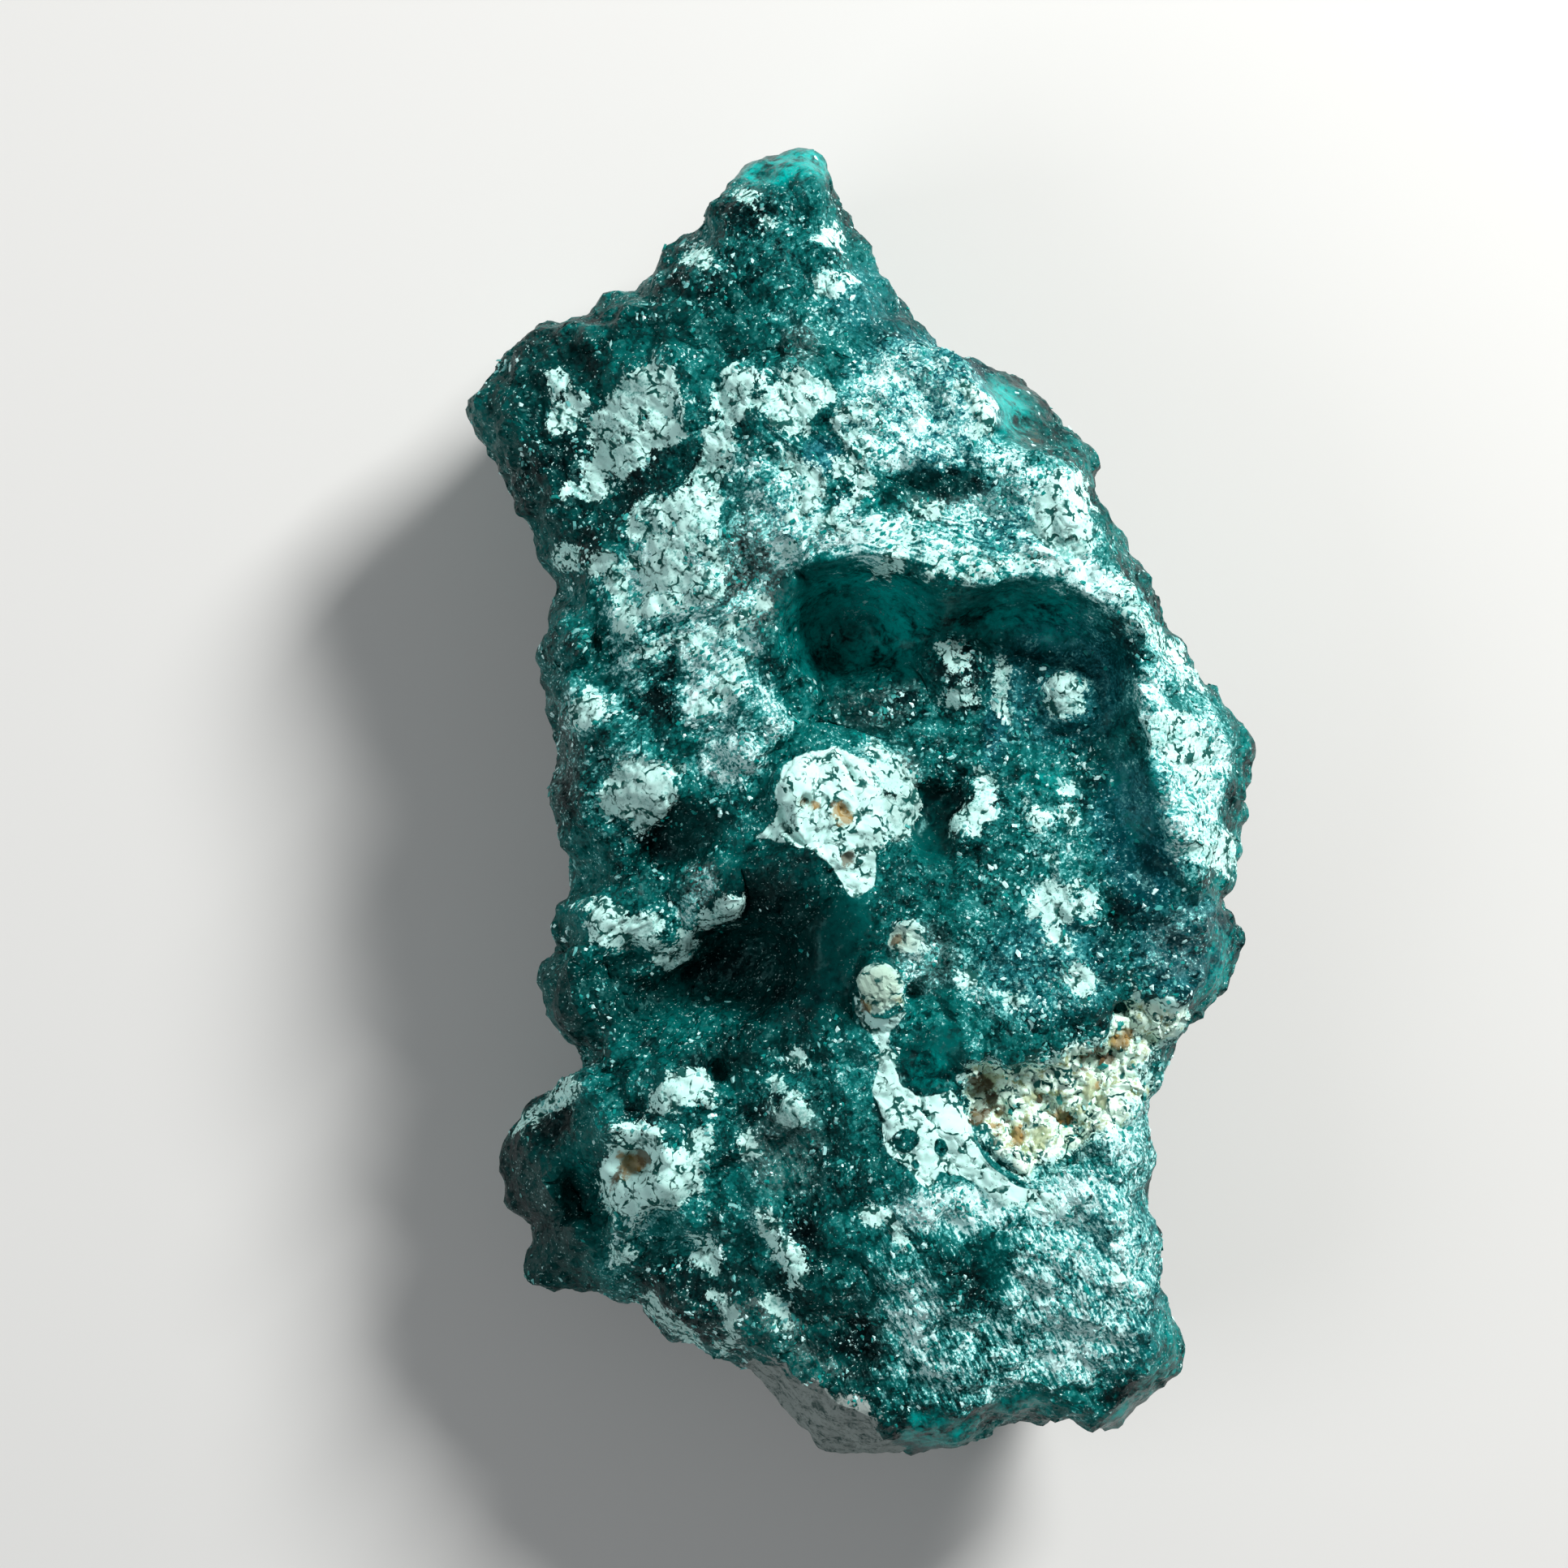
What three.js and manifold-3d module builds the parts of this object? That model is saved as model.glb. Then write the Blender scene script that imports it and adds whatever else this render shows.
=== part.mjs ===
// Dioptase specimen: one broken lump of massive dioptase with crusts, a druse bowl, a vug and edge crystals.
// It lies on its back. +X is the right of its good face, +Y its top, and +Z points out of the face.
// Lengths are millimetres. The origin is under the middle of the lump, on the surface it rests on.

import * as THREE from 'three';
import { ImprovedNoise } from 'three/addons/math/ImprovedNoise.js';
import { mergeVertices } from 'three/addons/utils/BufferGeometryUtils.js';
import Module from 'manifold-3d';

// Edge lengths of the facets on the good face and on the back, and how many rings each has
const FACE_STEP = 1.16;
const BACK_STEP = 2.1;
const FACE_RINGS = 19;
const BACK_RINGS = 6;

// Outline of the lump seen on its good face: tip, left side, bottom, right side
const OUTLINE = [
  [-3.5, 42.5], [-4.8, 42.1], [-6.1, 41.5], [-7.3, 41.5], [-8.1, 40.8], [-8.9, 39.7], [-9.5, 38.3],
  [-10.1, 37.3], [-11.3, 36.1], [-12.5, 35.3], [-13.3, 34.3], [-14.3, 33.1], [-15.3, 32.6], [-16.5, 32.3],
  [-17.7, 31.3], [-19.6, 31.5], [-20.4, 31.2], [-21.4, 30.3], [-23.0, 28.8], [-24.2, 27.6], [-25.2, 26.5],
  [-25.4, 25.6], [-24.8, 24.2], [-23.8, 22.6], [-22.8, 20.6], [-22.2, 19.3], [-21.5, 19.0], [-21.3, 17.6],
  [-20.6, 16.2], [-19.8, 15.2], [-19.4, 13.8], [-19.9, 12.8], [-20.2, 11.8], [-19.9, 10.8], [-20.7, 9.9],
  [-20.8, 9.4], [-20.4, 8.2], [-19.9, 7.6], [-19.8, 6.4], [-19.5, 4.4], [-19.2, 2.5], [-19.6, 0.7],
  [-19.6, -0.7], [-19.5, -2.3], [-18.8, -3.2], [-18.7, -4.1], [-18.7, -5.9], [-18.9, -6.9], [-19.6, -7.9],
  [-19.6, -8.7], [-19.2, -9.9], [-19.9, -10.6], [-20.5, -11.6], [-20.5, -12.8], [-20.2, -13.8],
  [-19.6, -14.6], [-18.7, -15.6], [-18.2, -16.1], [-17.4, -16.9], [-17.7, -17.5], [-18.7, -18.1],
  [-20.2, -19.2], [-21.4, -20.2], [-22.6, -21.2], [-23.2, -22.2], [-23.2, -24.0], [-22.6, -25.2],
  [-22.4, -26.6], [-21.2, -27.8], [-21.6, -29.0], [-21.6, -30.2], [-21.2, -30.9], [-19.6, -31.3],
  [-17.5, -31.6], [-16.4, -31.9], [-14.9, -31.8], [-13.9, -32.6], [-13.1, -34.1], [-11.3, -34.9],
  [-9.5, -35.7], [-7.7, -36.4], [-6.9, -36.9], [-5.7, -38.1], [-4.6, -39.7], [-3.8, -40.7], [-3.1, -41.5],
  [-2.4, -42.3], [0.2, -42.4], [3.0, -42.2], [5.8, -42.1], [7.0, -41.7], [8.2, -40.9], [8.8, -40.3],
  [10.3, -40.0], [11.8, -39.9], [13.1, -39.6], [14.3, -39.7], [15.3, -40.2], [16.3, -40.4], [17.3, -39.9],
  [18.3, -38.7], [19.5, -37.9], [20.7, -36.9], [21.0, -35.9], [20.7, -34.5], [20.1, -32.8], [19.7, -31.1],
  [19.3, -29.0], [19.2, -27.4], [18.7, -25.6], [18.8, -24.8], [18.7, -23.0], [18.6, -21.6], [18.7, -19.7],
  [19.1, -18.4], [19.9, -16.9], [20.3, -15.3], [21.3, -14.1], [22.3, -13.3], [23.1, -12.1], [23.7, -10.9],
  [24.3, -8.7], [24.6, -7.7], [24.2, -6.9], [23.8, -6.3], [23.9, -4.3], [24.2, -2.3], [24.7, -0.7],
  [25.1, 1.3], [25.4, 2.9], [25.4, 4.2], [24.9, 5.2], [24.2, 6.2], [23.1, 7.6], [21.7, 8.8], [20.7, 10.0],
  [19.7, 11.2], [19.7, 12.2], [19.5, 13.3], [18.5, 15.1], [17.7, 16.3], [16.9, 17.2], [16.3, 18.4],
  [15.4, 19.2], [15.3, 20.8], [15.3, 22.2], [14.7, 23.4], [13.7, 24.4], [12.6, 25.6], [11.8, 26.6],
  [11.1, 27.0], [10.3, 27.8], [9.1, 28.2], [8.2, 28.6], [7.3, 28.9], [6.2, 28.4], [5.6, 29.0],
  [4.6, 29.8], [3.4, 31.1], [2.6, 32.6], [1.8, 33.4], [1.1, 33.6], [0.8, 34.5], [-0.1, 35.5],
  [-0.4, 36.5], [-1.2, 38.3], [-1.9, 39.5], [-2.1, 41.7],
];

// The rings of facets close in on a line down the middle of the lump. The outline between the two top
// corners closes in on its upper end, and the outline between the two bottom corners on its lower end.
const SPINE_TOP = [-5, 28];
const SPINE_BOTTOM = [2, -27];
const SPINE_STEPS = 44;
const SPINE_SAMPLES = 8 * SPINE_STEPS;
const RING_SAMPLES = 720;
const LEFT_TOP_CORNER = [-25.4, 25.6];
const LEFT_BOTTOM_CORNER = [-7.7, -36.4];
const RIGHT_BOTTOM_CORNER = [21.0, -35.9];
const RIGHT_TOP_CORNER = [7.3, 28.9];

// Heights of the rim above the resting surface: x, y, z
const RIM_SPOTS = [
  [-4, 42, 16], [-10, 37, 15.5], [-19, 31, 14], [-25, 26, 12.5], [-21, 17, 14], [-20, 8, 13.5],
  [-19, -3, 13.5], [-20, -12, 12], [-17, -17, 12.5], [-23, -23, 9], [-21, -30, 8.5], [-13, -33, 11],
  [-5, -39, 9], [0, -42, 9], [6, -42, 12], [14, -40, 13], [21, -36, 13], [19, -26, 14.5], [20, -15, 14.5],
  [24.5, -8, 14.5], [25.5, 3.5, 13.5], [20, 11.5, 13.5], [15.5, 21, 14], [8, 28.5, 13], [2, 33, 14.5],
];
const RIM_BLEND = 5;

// Heights of the good face, before its crests, ledges and pits: x, y, z
const FACE_SPOTS = [
  [-4, 40, 18.5], [-6, 36, 20.5], [-2, 35, 21], [-9, 33, 21], [-14, 31, 19.5], [-19, 29, 17],
  [-22, 25, 15.5], [-16, 24, 19], [-9, 27, 22], [-2, 29, 23], [3, 26, 23.5], [-20, 18, 16.5],
  [-14, 17, 20.5], [-7, 20, 23.5], [0, 20, 24.5], [7, 20, 24.5], [12, 18, 24], [-17, 10, 18],
  [-11, 9, 22], [-4, 9, 21.5], [-17, 3, 18], [-16, -3, 17], [-10, 2, 21], [-3, 1, 20.5], [3, 6, 21.5],
  [9, 8, 22], [15, 8, 23], [18, 8, 23.5], [5, 0, 20.5], [10, 0, 21], [15, 0, 22], [20, 0, 23],
  [5, -8, 21.5], [12, -8, 22], [18, -8, 22], [22, -10, 18.5], [-4, -5, 20.5], [-12, -5, 18.5],
  [-15, -11, 15.5], [-8, -12, 18], [-2, -12, 20.5], [4, -14, 22], [-12, -18, 18], [-6, -20, 20],
  [0, -20, 21.5], [6, -21, 22], [12, -19, 22], [17, -20, 20.5], [-20, -24, 12.5], [-19, -29, 12],
  [-14, -25, 17], [-8, -27, 19.5], [0, -28, 21.5], [8, -29, 21.5], [15, -28, 20], [-9, -32, 17],
  [-1, -35, 18.5], [8, -36, 18.5], [15, -36, 17],
];
const FACE_BLEND = 3.6;
// The face rounds over towards the rim, and stands at least a little above it
const EDGE_ROUND = 3;
const EDGE_RISE = 0.3;

// Rounded lumps and crust knobs: x, y, radius, rise. A knob's foot starts at this share of its area.
const KNOB_FOOT = 0.6;
const KNOBS = [
  [-1.5, 0.7, 4.6, 2.3], [1.6, -11.6, 2.0, 1.5], [3.2, -8.6, 2.1, 1.0], [-14.4, -23.0, 3.7, 2.4],
  [-10.6, -22.4, 2.6, 1.0], [-11.4, -17.8, 3.0, 1.0], [-4.1, -19.4, 1.6, 0.7], [6.2, 8.9, 2.1, 1.2],
  [12.9, 7.2, 2.4, 1.3], [1.2, 7.0, 2.8, 1.1], [8.0, -0.9, 2.4, 0.8], [11.2, -0.9, 2.0, 0.7],
  [-4.6, -4.4, 2.6, 1.3], [-2.2, -4.6, 2.2, 1.2], [-13.5, 2.0, 3.2, 1.0], [-16.5, 4.6, 2.4, 1.0],
  [-14.8, -7.2, 2.8, 1.2], [-9.2, -5.0, 2.4, 1.3], [-13.0, 25.0, 4.2, 0.9], [-5.0, 25.4, 3.6, 0.8],
  [-11.2, 17.0, 3.4, 1.0], [13.0, 18.6, 2.6, 1.0], [-19.2, 10.2, 2.2, 1.3], [-18.8, 6.4, 2.0, 0.9],
  [-18.4, 1.6, 2.2, 0.9], [-18.4, -1.6, 2.2, 1.1], [-18.3, -8.4, 2.2, 1.4], [-18.7, -12.4, 3.0, 1.7],
  [-20.6, -23.0, 3.4, 2.2], [-20.0, -27.2, 3.2, 1.6], [-17.4, -20.6, 2.6, 1.3], [-16.8, -28.4, 2.4, 1.0],
  [-7.0, -33.0, 3.0, 0.9], [9.5, -27.0, 3.4, 0.6], [3.5, -33.0, 4.0, 0.6], [15.5, -33.0, 4.4, 0.7],
  [19.8, -13.4, 1.9, 0.9], [-8.5, 38.6, 2.0, 0.6], [10.8, 25.2, 2.4, 1.0], [17.8, 14.2, 1.6, 0.8],
];

// Hollows and pits: x, y, half length, half width, turn in degrees, depth. Their edges are steep.
const HOLLOW_POWER = 0.7;
const HOLLOWS = [
  [-0.2, 11.8, 5.2, 4.2, 10, 2.2], [10.8, 11.3, 6.0, 3.0, -8, 1.8], [-8.2, -10.4, 5.6, 4.0, 24, 4.4],
  [-12.2, -12.8, 3.4, 2.2, 0, 1.8], [4.4, -0.6, 1.6, 3.0, 0, 1.6], [-12.0, -2.6, 3.0, 2.2, 20, 1.9],
  [-5.6, 2.6, 1.3, 2.0, 0, 1.2], [-9.3, -17.0, 1.6, 1.3, 0, 1.4], [-14.8, -22.6, 1.7, 1.6, 0, 2.2],
  [-20.6, -20.6, 2.2, 1.2, 30, 1.3], [-17.6, -24.8, 1.5, 2.4, 0, 1.3], [7.6, -19.0, 2.0, 2.2, 20, 1.3],
  [15.4, -15.6, 1.8, 1.2, -30, 1.0], [12.8, -20.0, 1.9, 1.2, 0, 0.9], [16.5, -12.6, 1.0, 1.2, 0, 1.2],
  [-11.8, 22.4, 3.0, 1.5, 10, 0.9], [4.5, 20.6, 4.0, 1.2, 0, 0.8], [-7.6, 13.4, 1.8, 3.0, 10, 1.2],
  [-12.0, -28.2, 4.0, 1.6, -10, 0.9], [-17.0, -5.4, 2.2, 1.0, 0, 1.2],
];

// The bowl's top edge: two rounded alcoves that meet in a spur
const BOWL_TOP = [
  [-5.5, 10.4], [-4.6, 13.2], [-2.4, 15.4], [0.4, 16.1], [3, 15.6], [4.7, 14.3], [5.5, 13.3], [6.7, 14.2],
  [9.4, 14.7], [12.6, 14.3], [15.4, 12.9], [17, 11.8],
];
// The bowl's right-hand edge, from which the bright flank falls to the rim
const BOWL_RIDGE = [[17.6, 11.6], [18.2, 5.6], [19.2, 1], [21, -3], [22.4, -7]];
// The edge over the bevel at the lower left, where the grey matrix shows
const BEVEL_EDGE = [
  [-15, -31], [-8, -34.8], [-5.5, -35.2], [-3.3, -36.4], [-1.5, -38], [1.6, -39.4], [3, -43],
];

// Crests: points, half width, rise
const CRESTS = [
  { points: [[-14, 11.6], [-9, 13.8], ...BOWL_TOP], width: 2.4, rise: 1.3 },
  { points: BOWL_RIDGE, width: 1.8, rise: 0.8 },
  { points: [[-8.2, -6.2], [-11.6, -8.6], [-13, -11]], width: 1.4, rise: 1.1 },
  { points: [[-6, -25.8], [-4.6, -28], [-3.8, -29.8]], width: 1.2, rise: 0.7 },
  { points: [[-10.5, 10], [-7.6, 7], [-6.4, 3.6]], width: 1.6, rise: 0.8 },
];

// Ledges that lie below their surroundings: border, drop, width of the step.
// The bowl is scooped, with a wall that flattens towards its floor, and fades out to the bottom of the lump.
const LEDGES = [
  {
    name: 'upper right ledge',
    border: [
      [-0.8, 38], [0.1, 35.4], [2.6, 31.6], [4.8, 29.1], [7.7, 25.4], [8.6, 22.8], [14, 20.9], [15, 19],
      [16, 16.5], [17.6, 13.5], [19.4, 10.8], [27, 12], [20, 32], [6, 42],
    ],
    drop: 6.2,
    step: 2.0,
  },
  {
    name: 'bowl',
    border: [[-5.4, 6], ...BOWL_TOP, ...BOWL_RIDGE, [10, -12], [-5, -10]],
    drop: 3.0,
    step: 4.4,
    isScooped: true,
    fade: [-7, 8],
  },
  {
    name: 'vug',
    border: [
      [6.8, -16], [8, -15.2], [10, -16], [12, -15.4], [15, -14.7], [16, -12.3], [17.3, -11.2], [20.6, -12.4],
      [20.9, -13.8], [18.6, -15.6], [18.3, -17], [17.6, -18.6], [16.5, -20.5], [14, -22.5], [11.5, -23.6],
      [9.7, -23], [7.6, -21], [6.4, -18.5],
    ],
    drop: 2.1,
    step: 1.2,
  },
  {
    name: 'lower left lobe',
    border: [[-17.5, -18], [-15.4, -21], [-16.8, -24], [-15.6, -28], [-13, -31.4], [-24, -33], [-26, -18]],
    drop: 1.4,
    step: 2.0,
  },
];

// Faces that fall away from an edge: edge, the border round what falls, slope
const FLANKS = [
  { edge: BOWL_RIDGE, border: [...BOWL_RIDGE, [30, -7], [30, 12]], slope: 1.0 },
  { edge: BEVEL_EDGE, border: [...BEVEL_EDGE, [3, -46], [-20, -46]], slope: 2.0 },
];

// Side: how far each ring has closed in on the spine, and its height as a share of the rim's.
// A thin edge is undercut more than a thick one.
const THICK_SIDE = [[0.99, 0.84], [0.965, 0.66], [0.935, 0.48], [0.89, 0.32], [0.82, 0.2]];
const THIN_SIDE = [[0.96, 0.88], [0.9, 0.72], [0.83, 0.55], [0.75, 0.38], [0.68, 0.24]];
const THICK_BACK_REACH = 0.73;
const THIN_BACK_REACH = 0.6;
// The edge thins from the left to the right, and towards the bottom
const THIN_FROM_X = -8;
const THIN_TO_X = 8;
const THIN_FROM_Y = -30;
const THIN_TO_Y = -40;
// The sides are broken from this level down, and wholly from the next
const BREAK_FROM_LEVEL = -1;
const BREAK_TO_LEVEL = 2;

// Back: its height over the resting surface, and the feet that are worn flat where it rests: x, y, radius.
// A foot reaches its full depth within this share of its radius.
const BACK_HEIGHT = 3.4;
const FEET = [[-10, 17, 5.5], [6, 18, 5], [12, -7, 5], [-10, -12, 5.5], [4, -25, 6.2]];
const FOOT_DEPTH = 7;
const FOOT_FLAT = 0.5;

// Broken facets: their size, and how far they stand out or in
const FACE_FACETS = [[3.4, 0.55], [1.7, 0.3]];
const SIDE_FACETS = [[8, 3.2], [3.6, 0.9]];
const SIDE_SETBACK = 1.2;
// Soft waves over the face: their size, height and where their pattern starts
const FACE_WAVES = { size: 4.5, height: 0.4, start: [7.3, -2.1, 4.7] };

// Stubby crystals grown into the sides under the rim: outline point they are nearest to, height, count, size
const CRYSTAL_CLUSTERS = [
  { near: [-20.2, 11.8], height: 5.0, count: 4, radius: 3.0 },
  { near: [-20.5, -12.8], height: 4.5, count: 4, radius: 2.8 },
  { near: [-12.5, 35.3], height: 6.0, count: 4, radius: 2.8 },
  { near: [3.4, 31.1], height: 6.5, count: 4, radius: 3.0 },
  { near: [18.5, 15.1], height: 6.5, count: 4, radius: 2.8 },
  { near: [24.2, -2.3], height: 6.5, count: 6, radius: 3.4 },
  { near: [18.7, -23.0], height: 6.5, count: 4, radius: 2.8 },
  { near: [11.8, -39.9], height: 6.0, count: 5, radius: 3.0 },
];
// A cluster's spread along the outline and up and down
const CRYSTAL_SPREAD = 13;
const CRYSTAL_SPREAD_UP = 7;
// A crystal's size as a share of the cluster's, and its length as a share of its size, each from and to
const CRYSTAL_SIZES = [0.4, 1.05];
const CRYSTAL_LENGTHS = [3.06, 4.08];
// How far it leans to either side, in radians, and how far down
const CRYSTAL_LEAN = 0.55;
const CRYSTAL_FALLS = [0.1, 0.7];
// How far inside the outline it stays, and the step by which it is pulled in
const CRYSTAL_CLEARANCE = 0.4;
const CRYSTAL_PULL = 0.4;
const CRYSTAL_SEED = 7;
// Slope of the three faces at each end of a crystal
const END_SLOPE = 1.233;

const GREEN = new THREE.Color(0.01, 0.2, 0.18);
const ROUGHNESS = 0.35;

// Side of the block of space that stands for everything above the resting surface
const ROOM_SIZE = 200;
const MERGE_DISTANCE = 1e-3;

const noise = new ImprovedNoise();
const UP = new THREE.Vector3(0, 0, 1);

// Always the same stream of numbers between 0 and 1
function makeRandom(seed) {
  let state = seed;
  return () => {
    state = (state + 0x6d2b79f5) | 0;
    let mixed = Math.imul(state ^ (state >>> 15), 1 | state);
    mixed = (mixed + Math.imul(mixed ^ (mixed >>> 7), 61 | mixed)) ^ mixed;
    return ((mixed ^ (mixed >>> 14)) >>> 0) / 4294967296;
  };
}

// 0 at low, 1 at high, also where low is the greater
function smoothStep(low, high, value) {
  return THREE.MathUtils.smoothstep((value - low) / (high - low), 0, 1);
}

// Bell-shaped average of the heights of the spots round a place
function blendSpots(spots, x, y, blend) {
  let total = 0;
  let weights = 0;
  for (const [spotX, spotY, height] of spots) {
    const distance = Math.hypot(x - spotX, y - spotY);
    const weight = Math.exp(-((distance / blend) ** 2) / 2) + Number.EPSILON;
    total += weight * height;
    weights += weight;
  }
  return total / weights;
}

function nearestOnLine(x, y, points) {
  let nearest = { distance: Infinity };
  for (let i = 0; i + 1 < points.length; i += 1) {
    const [ax, ay] = points[i];
    const [bx, by] = points[i + 1];
    const lengthSquared = (bx - ax) ** 2 + (by - ay) ** 2;
    const projection = ((x - ax) * (bx - ax) + (y - ay) * (by - ay)) / lengthSquared;
    const along = THREE.MathUtils.clamp(projection, 0, 1);
    const place = [ax + along * (bx - ax), ay + along * (by - ay)];
    const distance = Math.hypot(x - place[0], y - place[1]);
    if (distance < nearest.distance) nearest = { distance, place };
  }
  return nearest;
}

function closed(border) {
  return [...border, border[0]];
}

// Distance to a closed border, positive inside it
function depthInside(x, y, border) {
  let inside = false;
  for (let i = 0, j = border.length - 1; i < border.length; j = i, i += 1) {
    const [ax, ay] = border[i];
    const [bx, by] = border[j];
    if ((ay > y) !== (by > y) && x < ((bx - ax) * (y - ay)) / (by - ay) + ax) inside = !inside;
  }
  const { distance } = nearestOnLine(x, y, closed(border));
  return inside ? distance : -distance;
}

// Number between 0 and 1 that belongs to a cell of space, from its mixed-up bits
function cellNumber(i, j, k, salt) {
  let mixed = Math.imul(i, 374761393) + Math.imul(j, 668265263) + Math.imul(k, 461845907) + salt * 97;
  mixed = Math.imul(mixed ^ (mixed >>> 13), 1274126177);
  mixed ^= mixed >>> 16;
  return (mixed >>> 0) / 4294967296;
}

// Steps to a cell's neighbours and to itself
const NEIGHBOURS = [-1, 0, 1].flatMap((i) => [-1, 0, 1].flatMap((j) => [-1, 0, 1].map((k) => [i, j, k])));

// Height on flat facets that meet in breaks: each facet is the plane of the nearest cell's seed
function facetHeight(x, y, z, size) {
  const place = [x / size, y / size, z / size];
  const middle = place.map(Math.floor);
  let nearest = Infinity;
  let height = 0;
  for (const step of NEIGHBOURS) {
    const cell = middle.map((index, axis) => index + step[axis]);
    const offset = place.map((value, axis) => value - cell[axis] - cellNumber(...cell, axis));
    const distance = Math.hypot(...offset);
    if (distance < nearest) {
      nearest = distance;
      const slopes = offset.map((unused, axis) => 2 * cellNumber(...cell, axis + 3) - 1);
      height = offset.reduce((sum, value, axis) => sum + value * slopes[axis], 0);
    }
  }
  return height;
}

function facetLayers(x, y, z, layers) {
  return layers.reduce((sum, [size, height]) => sum + height * facetHeight(x, y, z, size), 0);
}

function waves(x, y, z, { size, height, start }) {
  return height * noise.noise(x / size + start[0], y / size + start[1], z / size + start[2]);
}

function knobRise(x, y, [knobX, knobY, radius, rise]) {
  const reach = ((x - knobX) ** 2 + (y - knobY) ** 2) / radius ** 2;
  return reach < 1 ? rise * Math.sqrt(1 - reach) * smoothStep(1, KNOB_FOOT, reach) : 0;
}

function hollowDepth(x, y, [hollowX, hollowY, halfLength, halfWidth, turn, depth]) {
  const angle = THREE.MathUtils.degToRad(turn);
  const along = (x - hollowX) * Math.cos(angle) + (y - hollowY) * Math.sin(angle);
  const across = (y - hollowY) * Math.cos(angle) - (x - hollowX) * Math.sin(angle);
  const reach = (along / halfLength) ** 2 + (across / halfWidth) ** 2;
  return reach < 1 ? depth * (1 - reach) ** HOLLOW_POWER : 0;
}

function ledgeDepth(x, y, { border, drop, step, isScooped, fade }) {
  const faded = fade ? smoothStep(fade[0], fade[1], y) : 1;
  const share = THREE.MathUtils.clamp(depthInside(x, y, border) / step, 0, 1);
  const profile = isScooped ? Math.sin((share * Math.PI) / 2) : smoothStep(0, 1, share);
  return drop * faded * profile;
}

function rimHeight(x, y) {
  return blendSpots(RIM_SPOTS, x, y, RIM_BLEND);
}

function faceHeight(x, y, edgeDistance) {
  let height = blendSpots(FACE_SPOTS, x, y, FACE_BLEND);
  for (const knob of KNOBS) height += knobRise(x, y, knob);
  for (const hollow of HOLLOWS) height -= hollowDepth(x, y, hollow);
  for (const { points, width, rise } of CRESTS) {
    height += rise * Math.max(0, 1 - nearestOnLine(x, y, points).distance / width);
  }
  for (const ledge of LEDGES) height -= ledgeDepth(x, y, ledge);
  for (const { edge, border, slope } of FLANKS) {
    if (depthInside(x, y, border) > 0) height -= slope * nearestOnLine(x, y, edge).distance;
  }
  const rim = rimHeight(x, y);
  const roundOff = (1 - Math.min(edgeDistance / EDGE_ROUND, 1)) ** 2;
  height = THREE.MathUtils.lerp(Math.max(height, rim + EDGE_RISE), rim, roundOff);
  const relief = facetLayers(x, y, height, FACE_FACETS) + waves(x, y, height, FACE_WAVES);
  return height + relief * (1 - roundOff ** 4);
}

// Corners of the facets slide onto the sharp edges that they lie close to, if no other has slid there
const SHARP_LINES = [
  ...LEDGES.map(({ border }) => closed(border)),
  ...CRESTS.map(({ points }) => points),
  BEVEL_EDGE,
];
const SLIDE_REACH = 0.5 * FACE_STEP;
const SLIDE_GAP = 0.62 * FACE_STEP;
const slidPlaces = [];

function slideOntoEdge(place) {
  for (const line of SHARP_LINES) {
    const nearest = nearestOnLine(place.x, place.y, line);
    if (nearest.distance > SLIDE_REACH) continue;
    const slid = new THREE.Vector2(...nearest.place);
    if (slidPlaces.some((other) => other.distanceTo(slid) < SLIDE_GAP)) return place;
    slidPlaces.push(slid);
    return slid;
  }
  return place;
}

// The outline by share of the way round it, and the spine by the same share
const outlinePoints = OUTLINE.map(([x, y]) => new THREE.Vector2(x, y));
const outlineLengths = [0];
outlinePoints.forEach((point, i) => {
  outlineLengths.push(outlineLengths[i] + point.distanceTo(outlinePoints[(i + 1) % outlinePoints.length]));
});
const outlineLength = outlineLengths[OUTLINE.length];

function shareOf([x, y]) {
  return outlineLengths[OUTLINE.findIndex((point) => point[0] === x && point[1] === y)] / outlineLength;
}

function outlineAt(share) {
  const travelled = (((share % 1) + 1) % 1) * outlineLength;
  let i = 0;
  while (outlineLengths[i + 1] < travelled) i += 1;
  const along = (travelled - outlineLengths[i]) / (outlineLengths[i + 1] - outlineLengths[i]);
  return outlinePoints[i].clone().lerp(outlinePoints[(i + 1) % OUTLINE.length], along);
}

const leftTop = shareOf(LEFT_TOP_CORNER);
const leftBottom = shareOf(LEFT_BOTTOM_CORNER);
const rightBottom = shareOf(RIGHT_BOTTOM_CORNER);
const rightTop = shareOf(RIGHT_TOP_CORNER);

function spineShare(share) {
  const wrapped = share % 1;
  const down = THREE.MathUtils.clamp((wrapped - leftTop) / (leftBottom - leftTop), 0, 1);
  const up = THREE.MathUtils.clamp((wrapped - rightBottom) / (rightTop - rightBottom), 0, 1);
  return down - up;
}

const spineTop = new THREE.Vector2(...SPINE_TOP);
const spineBottom = new THREE.Vector2(...SPINE_BOTTOM);

function spineAt(share) {
  return spineTop.clone().lerp(spineBottom, spineShare(share));
}

// Thickness of the edge: 0 where it is thick, 1 where it is thin
function thinness(rim) {
  return Math.max(smoothStep(THIN_FROM_X, THIN_TO_X, rim.x), smoothStep(THIN_FROM_Y, THIN_TO_Y, rim.y));
}

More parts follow.
